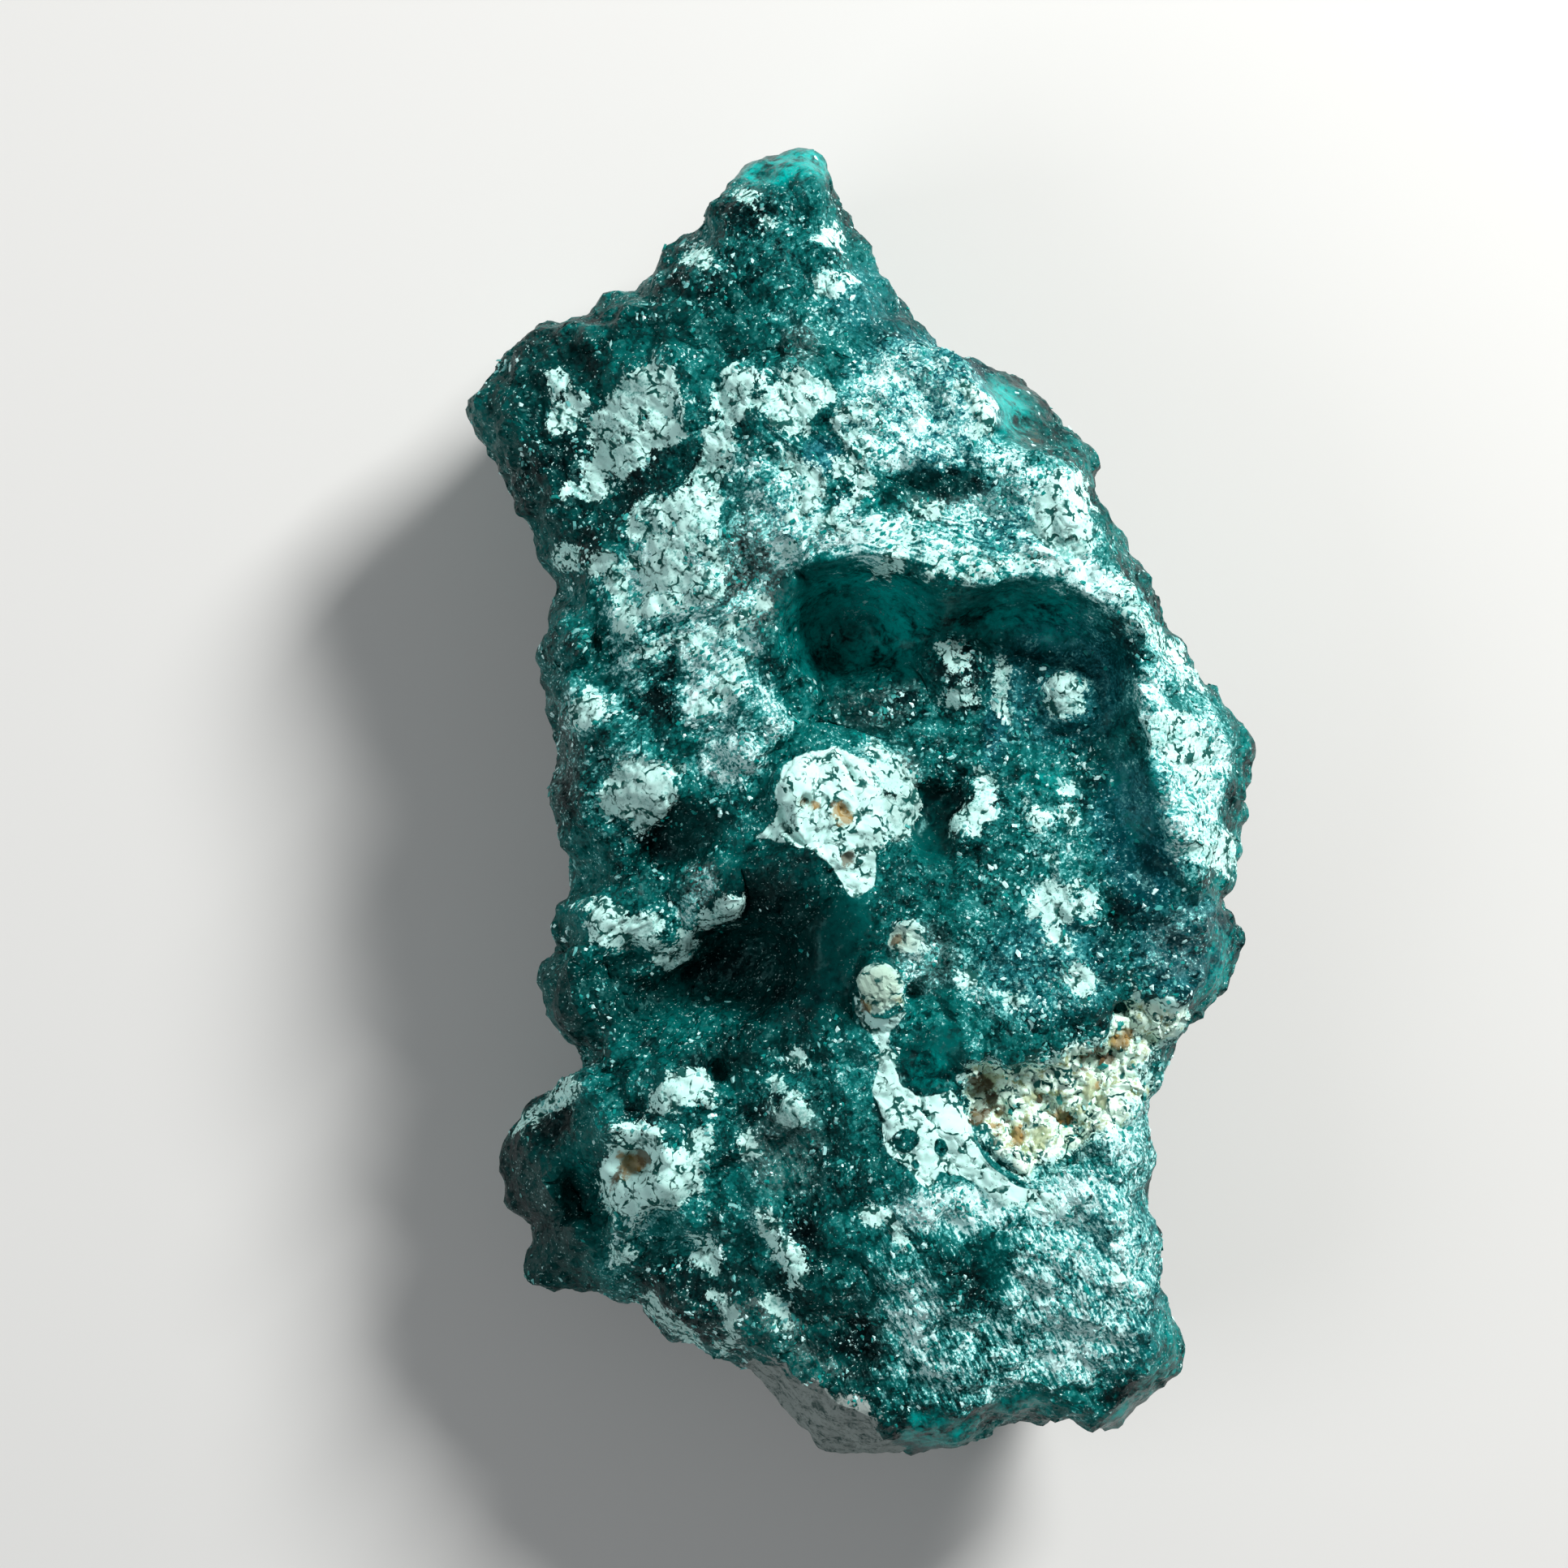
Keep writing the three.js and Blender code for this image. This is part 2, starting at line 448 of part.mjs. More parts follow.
// Shares of the way round that lie a step apart on a ring. Odd rings start half a step later.
function ringShares(reach, step, index) {
  const places = Array.from({ length: RING_SAMPLES + 1 }, (unused, i) => (
    spineAt(i / RING_SAMPLES).lerp(outlineAt(i / RING_SAMPLES), reach)
  ));
  const lengths = [0];
  for (let i = 0; i < RING_SAMPLES; i += 1) lengths.push(lengths[i] + places[i].distanceTo(places[i + 1]));
  const count = Math.round(lengths[RING_SAMPLES] / step);
  const shares = [];
  let i = 0;
  for (let k = 0; k < count; k += 1) {
    const travelled = ((k + (index % 2) / 2) / count) * lengths[RING_SAMPLES];
    while (lengths[i + 1] < travelled) i += 1;
    shares.push((i + (travelled - lengths[i]) / (lengths[i + 1] - lengths[i])) / RING_SAMPLES);
  }
  return shares;
}

function sidePoint(share, level) {
  const rim = outlineAt(share);
  const spine = spineAt(share);
  const thin = thinness(rim);
  const [thickReach, thickShare] = THICK_SIDE[level];
  const [thinReach, thinShare] = THIN_SIDE[level];
  const z = rimHeight(rim.x, rim.y) * THREE.MathUtils.lerp(thickShare, thinShare, thin);
  const place = spine.clone().lerp(rim, THREE.MathUtils.lerp(thickReach, thinReach, thin));
  const breakage = facetLayers(place.x, place.y, z, SIDE_FACETS) - SIDE_SETBACK;
  const out = rim.clone().sub(spine).normalize();
  place.addScaledVector(out, Math.min(breakage, 0) * smoothStep(BREAK_FROM_LEVEL, BREAK_TO_LEVEL, level));
  return [place.x, place.y, z];
}

function backHeight(x, y) {
  let height = BACK_HEIGHT + facetLayers(x, y, 0, SIDE_FACETS);
  for (const [footX, footY, radius] of FEET) {
    height -= FOOT_DEPTH * smoothStep(radius, radius * FOOT_FLAT, Math.hypot(x - footX, y - footY));
  }
  return Math.max(height, 0);
}

function backPoint(share, part) {
  const start = THREE.MathUtils.lerp(THICK_BACK_REACH, THIN_BACK_REACH, thinness(outlineAt(share)));
  const place = spineAt(share).lerp(outlineAt(share), start * (1 - part));
  return [place.x, place.y, backHeight(place.x, place.y)];
}

function facePoint(share, reach) {
  const rim = outlineAt(share);
  const spine = spineAt(share);
  const place = slideOntoEdge(spine.clone().lerp(rim, reach));
  return [place.x, place.y, faceHeight(place.x, place.y, (1 - reach) * rim.distanceTo(spine))];
}

// The lump: rings over the good face, round the rim, down the sides and across the back
function makeLump() {
  const points = [];
  const triangles = [];

  const addRing = (shares, pointAt) => shares.map((share) => {
    points.push(pointAt(share));
    return { share, index: points.length - 1 };
  });

  // The last ring lies on the spine, where its points are shared by the left and the right side
  const addSpineRing = (heightAt) => {
    const first = points.length;
    for (let i = 0; i <= SPINE_STEPS; i += 1) {
      const place = spineTop.clone().lerp(spineBottom, i / SPINE_STEPS);
      points.push([place.x, place.y, heightAt(place.x, place.y)]);
    }
    return Array.from({ length: SPINE_SAMPLES }, (unused, i) => {
      const share = i / SPINE_SAMPLES;
      return { share, index: first + Math.round(spineShare(share) * SPINE_STEPS) };
    });
  };

  // Two rings are joined by a band of triangles, each step going to whichever ring is behind
  const joinRings = (outer, inner, isBack) => {
    const at = (ring, i) => ring[i % ring.length].share + Math.floor(i / ring.length);
    let i = 0;
    let j = 0;
    while (i < outer.length || j < inner.length) {
      const takeOuter = j >= inner.length || (i < outer.length && at(outer, i + 1) <= at(inner, j + 1));
      const a = outer[i % outer.length].index;
      const b = inner[j % inner.length].index;
      const ahead = takeOuter ? outer[(i + 1) % outer.length] : inner[(j + 1) % inner.length];
      const next = ahead.index;
      if (next !== a && next !== b) triangles.push(isBack ? [a, b, next] : [a, next, b]);
      if (takeOuter) i += 1;
      else j += 1;
    }
    return inner;
  };

  const rimShares = [];
  for (let i = 0; i < OUTLINE.length; i += 1) {
    const pieces = Math.max(1, Math.round((outlineLengths[i + 1] - outlineLengths[i]) / FACE_STEP));
    for (let k = 0; k < pieces; k += 1) {
      const along = THREE.MathUtils.lerp(outlineLengths[i], outlineLengths[i + 1], k / pieces);
      rimShares.push(along / outlineLength);
    }
  }
  const rim = addRing(rimShares, (share) => {
    const { x, y } = outlineAt(share);
    return [x, y, rimHeight(x, y)];
  });

  let outer = rim;
  for (let k = 1; k < FACE_RINGS; k += 1) {
    const reach = 1 - k / FACE_RINGS;
    const ring = addRing(ringShares(reach, FACE_STEP, k), (share) => facePoint(share, reach));
    outer = joinRings(outer, ring, false);
  }
  joinRings(outer, addSpineRing((x, y) => faceHeight(x, y, EDGE_ROUND)), false);

  outer = rim;
  for (let level = 0; level < THICK_SIDE.length; level += 1) {
    const ring = addRing(ringShares(1, BACK_STEP, level), (share) => sidePoint(share, level));
    outer = joinRings(outer, ring, true);
  }
  for (let k = 0; k < BACK_RINGS; k += 1) {
    const part = k / BACK_RINGS;
    const shares = ringShares(THICK_BACK_REACH * (1 - part), BACK_STEP, k);
    outer = joinRings(outer, addRing(shares, (share) => backPoint(share, part)), true);
  }
  joinRings(outer, addSpineRing(backHeight), true);
  return { points, triangles };
}

// A stubby six-sided crystal with three slanted faces at each end, centred on the origin, along Z
function makeCrystal(radius, length) {
  const points = [];
  const triangles = [];
  const halfLength = length / 2;
  for (const end of [1, -1]) {
    points.push([0, 0, end * halfLength]);
    for (let corner = 0; corner < 6; corner += 1) {
      const angle = (corner * Math.PI) / 3;
      const isLow = (corner % 2 === 0) === (end > 0);
      const fall = END_SLOPE * radius * (isLow ? 1 : 0.5);
      points.push([radius * Math.cos(angle), radius * Math.sin(angle), end * (halfLength - fall)]);
    }
  }
  const bottom = 7;
  for (let corner = 0; corner < 6; corner += 1) {
    const a = 1 + corner;
    const b = 1 + ((corner + 1) % 6);
    triangles.push([0, a, b], [bottom, bottom + b, bottom + a]);
    triangles.push([a, bottom + a, bottom + b], [a, bottom + b, b]);
  }
  return { points, triangles };
}

const wasm = await Module();
wasm.setup();

function makeSolid(numbers, corners) {
  const vertProperties = new Float32Array(numbers);
  const triVerts = new Uint32Array(corners);
  return new wasm.Manifold(new wasm.Mesh({ numProp: 3, vertProperties, triVerts }));
}

function toSolid({ points, triangles }) {
  return makeSolid(points.flat(), triangles.flat());
}

function toGeometry(solid) {
  const { vertProperties, triVerts } = solid.getMesh();
  const geometry = new THREE.BufferGeometry();
  geometry.setAttribute('position', new THREE.BufferAttribute(vertProperties, 3));
  geometry.setIndex(new THREE.BufferAttribute(triVerts, 1));
  return mergeVertices(geometry, MERGE_DISTANCE);
}

function moved({ points, triangles }, turn, centre) {
  const place = (point) => new THREE.Vector3(...point).applyQuaternion(turn).add(centre).toArray();
  return { points: points.map(place), triangles };
}

// A crystal that points out of the side, pulled in until the rim covers it from above
function placeCrystal(crystal, rim, out, z, twist, length) {
  const turn = new THREE.Quaternion().setFromUnitVectors(UP, out);
  turn.multiply(new THREE.Quaternion().setFromAxisAngle(UP, twist));
  for (let pull = length / 2; pull < length * 2; pull += CRYSTAL_PULL) {
    const centre = new THREE.Vector3(rim.x, rim.y, z).addScaledVector(out, -pull);
    const placed = moved(crystal, turn, centre);
    if (placed.points.every(([x, y]) => depthInside(x, y, OUTLINE) > CRYSTAL_CLEARANCE)) return placed;
  }
  return null;
}

function makeCluster({ near, height, count, radius }, random) {
  const middle = shareOf(near);
  const crystals = [];
  const between = (low, high) => THREE.MathUtils.lerp(low, high, random());
  for (let i = 0; i < count; i += 1) {
    const share = middle + ((i + random()) / count - 0.5) * (CRYSTAL_SPREAD / outlineLength);
    const rim = outlineAt(share);
    const out = new THREE.Vector3(...rim.clone().sub(spineAt((share + 1) % 1)).normalize(), 0);
    out.applyAxisAngle(UP, between(-CRYSTAL_LEAN, CRYSTAL_LEAN));
    out.z = -between(...CRYSTAL_FALLS);
    out.normalize();
    const size = radius * between(...CRYSTAL_SIZES);
    const length = size * between(...CRYSTAL_LENGTHS);
    const z = height + between(-CRYSTAL_SPREAD_UP / 2, CRYSTAL_SPREAD_UP / 2);
    const twist = between(0, Math.PI);
    const placed = placeCrystal(makeCrystal(size, length), rim, out, z, twist, length);
    if (placed) crystals.push(placed);
  }
  return crystals;
}

// Everything above the resting surface
function makeRoom() {
  const geometry = new THREE.BoxGeometry(ROOM_SIZE, ROOM_SIZE, ROOM_SIZE).translate(0, 0, ROOM_SIZE / 2);
  geometry.deleteAttribute('normal');
  geometry.deleteAttribute('uv');
  const merged = mergeVertices(geometry);
  return makeSolid(merged.attributes.position.array, merged.index.array);
}

const random = makeRandom(CRYSTAL_SEED);
let specimen = toSolid(makeLump());
for (const cluster of CRYSTAL_CLUSTERS) {
  for (const crystal of makeCluster(cluster, random)) specimen = specimen.add(toSolid(crystal));
}
specimen = specimen.intersect(makeRoom());
// Crystals that touch nothing, and hollows closed in between crystals, are left out
const bodies = specimen.decompose().sort((one, other) => other.volume() - one.volume());
[specimen] = bodies;

const specimenGeometry = toGeometry(specimen);
specimenGeometry.computeBoundingBox();
const { min, max } = specimenGeometry.boundingBox;
specimenGeometry.translate(-(min.x + max.x) / 2, -(min.y + max.y) / 2, -min.z);

const material = new THREE.MeshStandardMaterial({ color: GREEN, roughness: ROUGHNESS, metalness: 0 });
const mesh = new THREE.Mesh(specimenGeometry, material);
mesh.name = 'dioptase_specimen';

const group = new THREE.Group();
group.add(mesh);

export default group;
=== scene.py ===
"""Looks of a dioptase specimen: a dark, glassy lump with pale crusts, frost with painted glints, a vug,
painted shade and rims with a painted glow.
"""
import math

import bpy
import numpy as np
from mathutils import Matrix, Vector


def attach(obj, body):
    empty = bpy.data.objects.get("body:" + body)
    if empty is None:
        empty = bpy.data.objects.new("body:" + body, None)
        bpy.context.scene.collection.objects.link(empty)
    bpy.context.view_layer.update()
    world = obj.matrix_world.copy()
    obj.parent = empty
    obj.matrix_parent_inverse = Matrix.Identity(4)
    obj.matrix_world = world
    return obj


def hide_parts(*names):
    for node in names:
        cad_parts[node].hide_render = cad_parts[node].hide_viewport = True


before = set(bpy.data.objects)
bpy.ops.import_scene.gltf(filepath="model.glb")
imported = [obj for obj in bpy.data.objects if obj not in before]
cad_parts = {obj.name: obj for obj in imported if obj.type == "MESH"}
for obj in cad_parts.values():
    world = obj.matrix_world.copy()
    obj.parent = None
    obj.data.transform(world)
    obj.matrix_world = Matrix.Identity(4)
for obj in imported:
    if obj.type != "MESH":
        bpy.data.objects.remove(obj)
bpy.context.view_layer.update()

NODE = "dioptase_specimen"
MM = 0.001

# The photograph's frame: pixels a millimetre, and the pixel of the row frame's origin
PHOTO_SIDE = 1932
PHOTO_SCALE = 19.0
PHOTO_ORIGIN = (1058, 993)
# The camera in millimetres: its height, the height of the face that is framed, and its sensor
CAMERA_HEIGHT = 360.0
FACE_LEVEL = 14.0
SENSOR = 36.0
CAMERA_REACH = (10.0, 20000.0)

# The stage in millimetres; the lights are given as place, side, power and colour
FLOOR_HALF = 1500.0
FLOOR_DROP = 0.02
FLOOR_COLOUR = (0.68, 0.68, 0.67, 1)
FLOOR_ROUGHNESS = 0.9
LIGHT_TARGET = (0, 0, 10)
LIGHTS = {
    "key": ((300, 330, 330), 160, 5.0, (1.0, 0.99, 0.97)),
    "fill": ((-380, -120, 320), 320, 0.7, (0.95, 0.98, 1.0)),
}
ROOM_COLOUR = (0.93, 0.95, 0.97, 1)
ROOM_STRENGTH = 0.17

# Fine mesh: the solid's corners are joined when they are closer than one of these steps a millimetre.
# Edges sharper than the crease angle stay sharp. Triangles with more crust than FINER_CRUST are split
JOIN_STEPS = 2000
ROUNDS = 2
CREASE_ANGLE = math.radians(52)
FINER_CRUST = 0.55
SEED = 11

# Factors and shifts that scramble the numbers of a lattice cell
HASH_AXES = (73856093, 19349663, 83492791)
HASH_SEED = 40503001
HASH_ROUNDS = [(13, 1274126177), (16, 668265263), (15, 1)]
LOW_32_BITS = 0xFFFFFFFF
LOW_24_BITS = 0xFFFFFF

# Crystals in millimetres: their spacing, and their relief in the druse and in the glassy zones
CRYSTAL_LAYERS = [
    (2.8, 0.46, 0.20),
    (1.3, 0.42, 0.08),
    (0.65, 0.34, 0.02),
]
# A crystal's least and greatest reach as a share of the spacing, and its bluntness along its own axes
CRYSTAL_REACH = (0.35, 0.75)
CRYSTAL_SHAPE = (1.0, 1.15, 0.8)

# Smooth noises, as size in millimetres and seed, and for the first two how far they shift a place
BORDER_WOBBLE = (1.3, SEED + 40, 0.4)
FLAKE_BENDS = (0.7, SEED + 170, 0.22)
BACK_CRUST_NOISE = (7, SEED + 50)
BACK_FROST_NOISE = (9, SEED + 60)
CRUST_LUMPS = (0.8, SEED + 70)
VUG_LUMPS = [(0.9, SEED + 80), (0.5, SEED + 90)]
RIM_WOBBLE = (2.2, SEED + 160)
OPEN_CRACKS = (1.6, SEED + 190)
# Crusts break up in flakes, and the pebble in chips: size and seed
FLAKES = (0.95, SEED + 180)
CHIPS = (1.7, SEED + 220)
# Plain patterns over the whole lump: size, seed and height of the noise
PATTERNS = {"patch": (3.4, SEED + 140, 0.42), "mottle": (1.5, SEED + 150, 0.45)}

# Relief in millimetres: crusts, their grain, flakes and cracks, the vug's lumps and the chips
CRUST_RISE = 0.16
CRUST_GRAIN = 0.07
FLAKE_STEP = 0.12
CRACK_DEPTH = 0.12
VUG_RISE = 0.5
VUG_SINK = 0.2
CHIP_RISE = 0.75
CHIP_SINK = 0.3
# How much of a crust and of the grey flake is free of crystals
CALM_CRUST = 0.75
CALM_MATRIX = 0.55

# Soft steps, each from and to. First those on how far the surface looks up
FACE_TURN = (-0.25, 0.2)
CARVED_TURN = (0, 0.4)
RIM_TURN = (0.1, 0.6)
# On heights in millimetres, and on distances to a crack or to the rim
FACE_RISE = (4, 9)
MATRIX_RISE = (1, 4)
RIM_RISE = (3, 8)
STANDING = (0.05, 0.6)
CRACK_EDGE = (0.02, 0.16)
CRACK_OPEN = (-0.35, 0.25)
RIM_FADE = (-0.9, 0.4)
# On a distance as a share of an oval zone's, a line's, a knob's or a pit's own size
ZONE_FADE = (0.55, 1.15)
LINE_FADE = (0.4, 1.3)
KNOB_FADE = (0.5, 1.0)
PIT_FADE = (0.35, 1.1)
CRACK_FADE = (0, 2)
# On the share of a mask
CRUST_EDGE = (0.4, 0.6)
SOLID_EDGE = (0.3, 0.6)
MATRIX_EDGE = (0.4, 0.6)
VUG_EDGE = (0.5, 0.8)
CREAM_EDGE = (0.2, 0.8)
FROST_GATHERS = (0.1, 0.5)

# Half widths in millimetres of the borders of crusts and other drawn shapes
CRUST_SOFT = 1.4
SOLID_SOFT = 0.5
VUG_SOFT = 0.8
MATRIX_SOFT = 1.4
GLASSY_FROST_SOFT = 0.5
GLASSY_SOFT = 0.4
# The face's frost before any zone is painted, and what crusts add and a lit rim takes away
FROST_START = 0.4
NEAR_CRUST = 0.2
FROST_OFF_RIM = 0.5
# Crusts and frost on the back, how bright the lit rim is on the side walls, and how far it wobbles
BACK_CRUST_LEVEL = 0.75
BACK_CRUST_SOFT = 0.5
BACK_FROST = 0.34
BACK_FROST_RANGE = 0.3
SIDE_GLOW = 0.4
RIM_WOBBLES = 0.5
# Smooth shading where more than this share of a triangle is glassy or crusted, and less is cream
SMOOTH_GLASS = 0.5
SMOOTH_CRUST = 0.55
SMOOTH_CREAM = 0.3

# Small flat crystals on the stone: how many, and half of a crystal's edge in millimetres
GRAIN_COUNT = 16000
GRAIN_SIZES = (0.045, 0.12)
# Their length, height, lean and depth in the stone, and how far they line up with the streaks
GRAIN_STRETCH = (0.8, 2.2)
GRAIN_HEIGHT = 0.5
GRAIN_LEAN = 0.6
GRAIN_SINK = 0.15
GRAIN_ALIGNED = 0.8
# Where they grow: in clumps on the frost, fewer on these masks, none on crusts, and some in the vug,
# where they are larger and some are stained
CLUMP_FROST = 0.35
CLUMP_FADE = (0.5, 1.0)
LEAST_FROST = 0.05
GRAIN_THINNING = {"glass": 0.9, "steep": 0.5, "rim": 0.8}
OFF_CRUST = (0.45, 0.65)
OFF_MATRIX = 0.5
VUG_GRAINS = 0.15
VUG_GROWTH = 0.2
UNSTAINED = 0.25

# Colours of the stone, the frost, the crusts, the stains and the grey flake
# The stone's own darkest tone, which is also painted as shade over hollows and slopes that lie in shadow
DEEP = (0.0, 0.006, 0.007)
STONE = (0.0, 0.096, 0.089)
# Painted light: bright teal where light would shine through the thin rim and the stone
GLOW = (0.0, 0.39, 0.36)
HALO = (0.0, 0.22, 0.20)
BLUE_DEEP = (0.0, 0.055, 0.072)
DUST = (0.006, 0.155, 0.150)
# The blue-grey dust tone below is in part a painted sheen where slopes face the light
DUST_BLUE_SHEEN = (0.024, 0.190, 0.235)
DUST_GREY = (0.135, 0.160, 0.155)
# Painted glints: the pale flecks and bright specks stand for light caught on small facets
GLINT_FLECK = (0.12, 0.42, 0.41)
GLINT_SPARKLE = (0.58, 0.90, 0.88)
CRUST_PALE = (0.54, 0.87, 0.82)
CRUST_GREY = (0.15, 0.42, 0.39)
CRUST_DULL = (0.27, 0.40, 0.38)
CRUST_DARK = (0.01, 0.08, 0.07)
CREAM = (0.36, 0.50, 0.40)
SUGAR = (0.70, 0.93, 0.81)
SUGAR_OLIVE = (0.36, 0.43, 0.24)
STAINS = {"olive": (0.38, 0.45, 0.28), "ochre": (0.30, 0.19, 0.06), "brown": (0.095, 0.060, 0.026)}
MATRIX_GREY = (0.24, 0.28, 0.27)
MATRIX_DARK = (0.05, 0.08, 0.075)

# Patterns of the lump's material, as noises: size in millimetres, detail, roughness and distortion
NOISES = {
    "broken": (1.05, 3.0, 0.62, 0.5), "grain": (0.19, 2.0, 0.6), "fine": (0.6, 4.0, 0.68, 0.5),
    "squiggle": (0.5, 3.0, 0.66, 0.7), "opening": (0.9, 2.0), "sugar": (0.9, 3.0, 0.65),
}
WINDING_NOISE = (0.36, 3.0, 0.62, 0.25)

# Rules: the share of each pattern or mask in a sum, and a soft step on the sum as from, to and height
RULES = {
    "stone": ({"patch": 0.6, "broken": 0.5, "fine": 0.8}, 0.70, 1.15),
    "glow": ({"mottle": 0.5, "broken": 0.4, "fine": 0.9}, 0.62, 1.12),
    "dust": ({"frosting": 1.0}, 1.06, 1.26, 0.75),
    "fleck": ({"frosting": 1.0}, 1.25, 1.31, 0.9),
    "sparkle": ({"frosting": 1.0}, 1.35, 1.40),
    "glint_salt": ({"grain": 1.0, "broken": 0.3}, 0.80, 0.86, 0.8),
    "crust": ({"crust": 1.0, "broken": 0.75, "fleck": 0.55}, 1.10, 1.16),
    "solid": ({"solid": 1.0, "broken": 0.3}, 0.61, 0.69),
    "pale": ({"broken": 0.5, "fleck": 0.6, "mottle": 0.3, "grain": 0.5, "cover": 0.2}, 0.71, 1.01),
    "vug": ({"vug": 1.0, "broken": 0.4}, 0.74, 0.9),
    "sugar": ({"sugar": 1.0}, 0.36, 0.48),
    "open": ({"opening": 1.0}, 0.38, 0.62),
    "pit": ({"fleck": 1.0}, 0.31, 0.38),
    "matrix": ({"matrix": 1.0, "broken": 0.9, "fleck": 0.5}, 1.12, 1.2),
    "speck": ({"broken": 0.5, "fleck": 0.5}, 0.38, 0.56),
    "silver": ({"tone": 1.0}, 0.15, 0.6),
    "white": ({"tone": 1.0}, 0.6, 0.95),
    "sugary": ({"vug": 1.0, "tone": 0.6}, 0.7, 1.1),
}
# Less frost where shade is painted over the stone
FROSTING = {"frost": 0.46, "broken": 0.5, "patch": 0.26, "deep_shade": -0.14, "fleck": 1.0}
STAIN_SPREAD = {"broken": 0.7, "fleck": 0.5}
STAIN_STEP = (1.08, 1.32, 0.85)
GRAIN_STAIN_STEP = (0.45, 0.6)

# How far a mask turns the colour
# How far the blue tint, in part a painted sheen, turns the stone
BLUE_SHARE = 0.75
# How far the painted shade turns the stone nearly black
DEEP_SHADE_SHARE = 0.75
CREAM_SHARE = 0.85
DULL_SHARE = 0.55
# Flecks: a noise folded into curls, the curls' share, and how much the fine grain adds or takes away
CURL_SLOPE = -2.4
CURL_TOP = 0.72
CURL_SHARE = 0.45
GRAIN_SHARE = 0.5
# Painted cracks in the crusts: spacing, the noise that bends them, how far, and width; then small pits
CRACK_SPACING = 1.5
CRACK_BENDS = (0.8, 2.0, 0.5)
CRACK_REACH = 0.9
CRACK_WIDTH = 0.075
CRACK_SOFT = 0.03
CRACK_LEAST = 0.12
PIT_SHARE = 0.8

# Gloss of the stone, the glass, the crusts and the small crystals
STONE_ROUGHNESS = 0.42
GLASS_ROUGHNESS = 0.26
CRUST_ROUGHNESS = 0.8
LUMP_GLOSS = {"IOR": 1.5, "Specular IOR Level": 0.16, "Specular Tint": (0.35, 1.0, 0.97, 1.0)}
GRAIN_GLOSS = {"Roughness": 0.3, "Specular IOR Level": 0.4}
# Facets that sparkle: their sizes in millimetres, how far they lean, and how calm glass keeps them
FACET_SIZES = (0.5, 0.24)
FACET_LEAN = 0.7
GLASS_CALM = 0.8

# Pale crusts on the face, as outlines in millimetres
CRUST_PATCHES = [
    [(-17.7, 21.4), (-17, 24.6), (-15, 26.8), (-13.4, 27.8), (-12, 27.2), (-10.9, 25.4), (-11, 23.4),
     (-13, 22.6), (-14.6, 21.4), (-16, 21)],
    [(-13.6, 14.2), (-11, 13.4), (-8.8, 14.4), (-9, 16.6), (-11, 17), (-13, 16.4)],
    [(-9.5, 25.5), (-8, 27.5), (-5.5, 26.5), (-4, 27.5), (-2, 26.5), (-1.8, 25.3), (-3, 24.5), (-4, 23.3),
     (-5.5, 24), (-6, 25), (-8, 24.5)],
    [(-9.2, 25), (-8, 24.6), (-8.1, 22), (-9, 20.4), (-9.3, 17), (-9.2, 15.6), (-10.5, 14.6),
     (-12.5, 15.4), (-14.3, 17.6), (-14.4, 19.3), (-12.8, 19.2), (-11, 20), (-10, 22.2)],
    [(-16.8, -24), (-16, -22), (-15, -20.8), (-14, -20.4), (-13, -21), (-12.5, -22), (-11, -21),
     (-10, -20.5), (-9.7, -21.5), (-10.3, -24.3), (-12, -25.3), (-14, -26.3), (-15, -26.5), (-17, -24.8)],
    [(0.8, 3.8), (2.6, 3), (3.7, 1), (3.5, -1), (2.2, -2.4), (0.8, -1.6)],
    [(-16.5, 0), (-16, 1.5), (-15, 3.2), (-12, 2.6), (-11.3, 2.5), (-12.5, -0.5), (-13.5, -1.2)],
    [(-17.5, -6.5), (-15, -6.6), (-12.6, -7.3), (-12.8, -8.8), (-14.5, -8.9), (-16.6, -8.6)],
    [(-13.2, -18.6), (-12, -17.4), (-10.4, -16.8), (-9.4, -17.6), (-9.4, -19.2), (-11, -19),
     (-12.4, -19.8)],
    [(11, 16.4), (10.8, 18.6), (11.6, 20.6), (13.6, 21), (14.4, 18.6), (14.2, 16), (12.6, 15.6)],
    [(18.4, 5.4), (19.2, 6), (21, 5.4), (22.6, 3), (22, 1), (20.4, 1.4), (19, 2.6)],
    [(20.6, -2.2), (22, -1.2), (24, -2.2), (23.4, -4.4), (21.8, -3.6)],
    [(10.6, -6.8), (11.4, -5.2), (13.6, -4.9), (13.6, -6.6), (12, -7.6)],
    [(6.2, -2), (7, 0.3), (7.8, 1.9), (8.6, 1.2), (8.5, -0.8), (8, -2.2), (7, -1.6)],
]
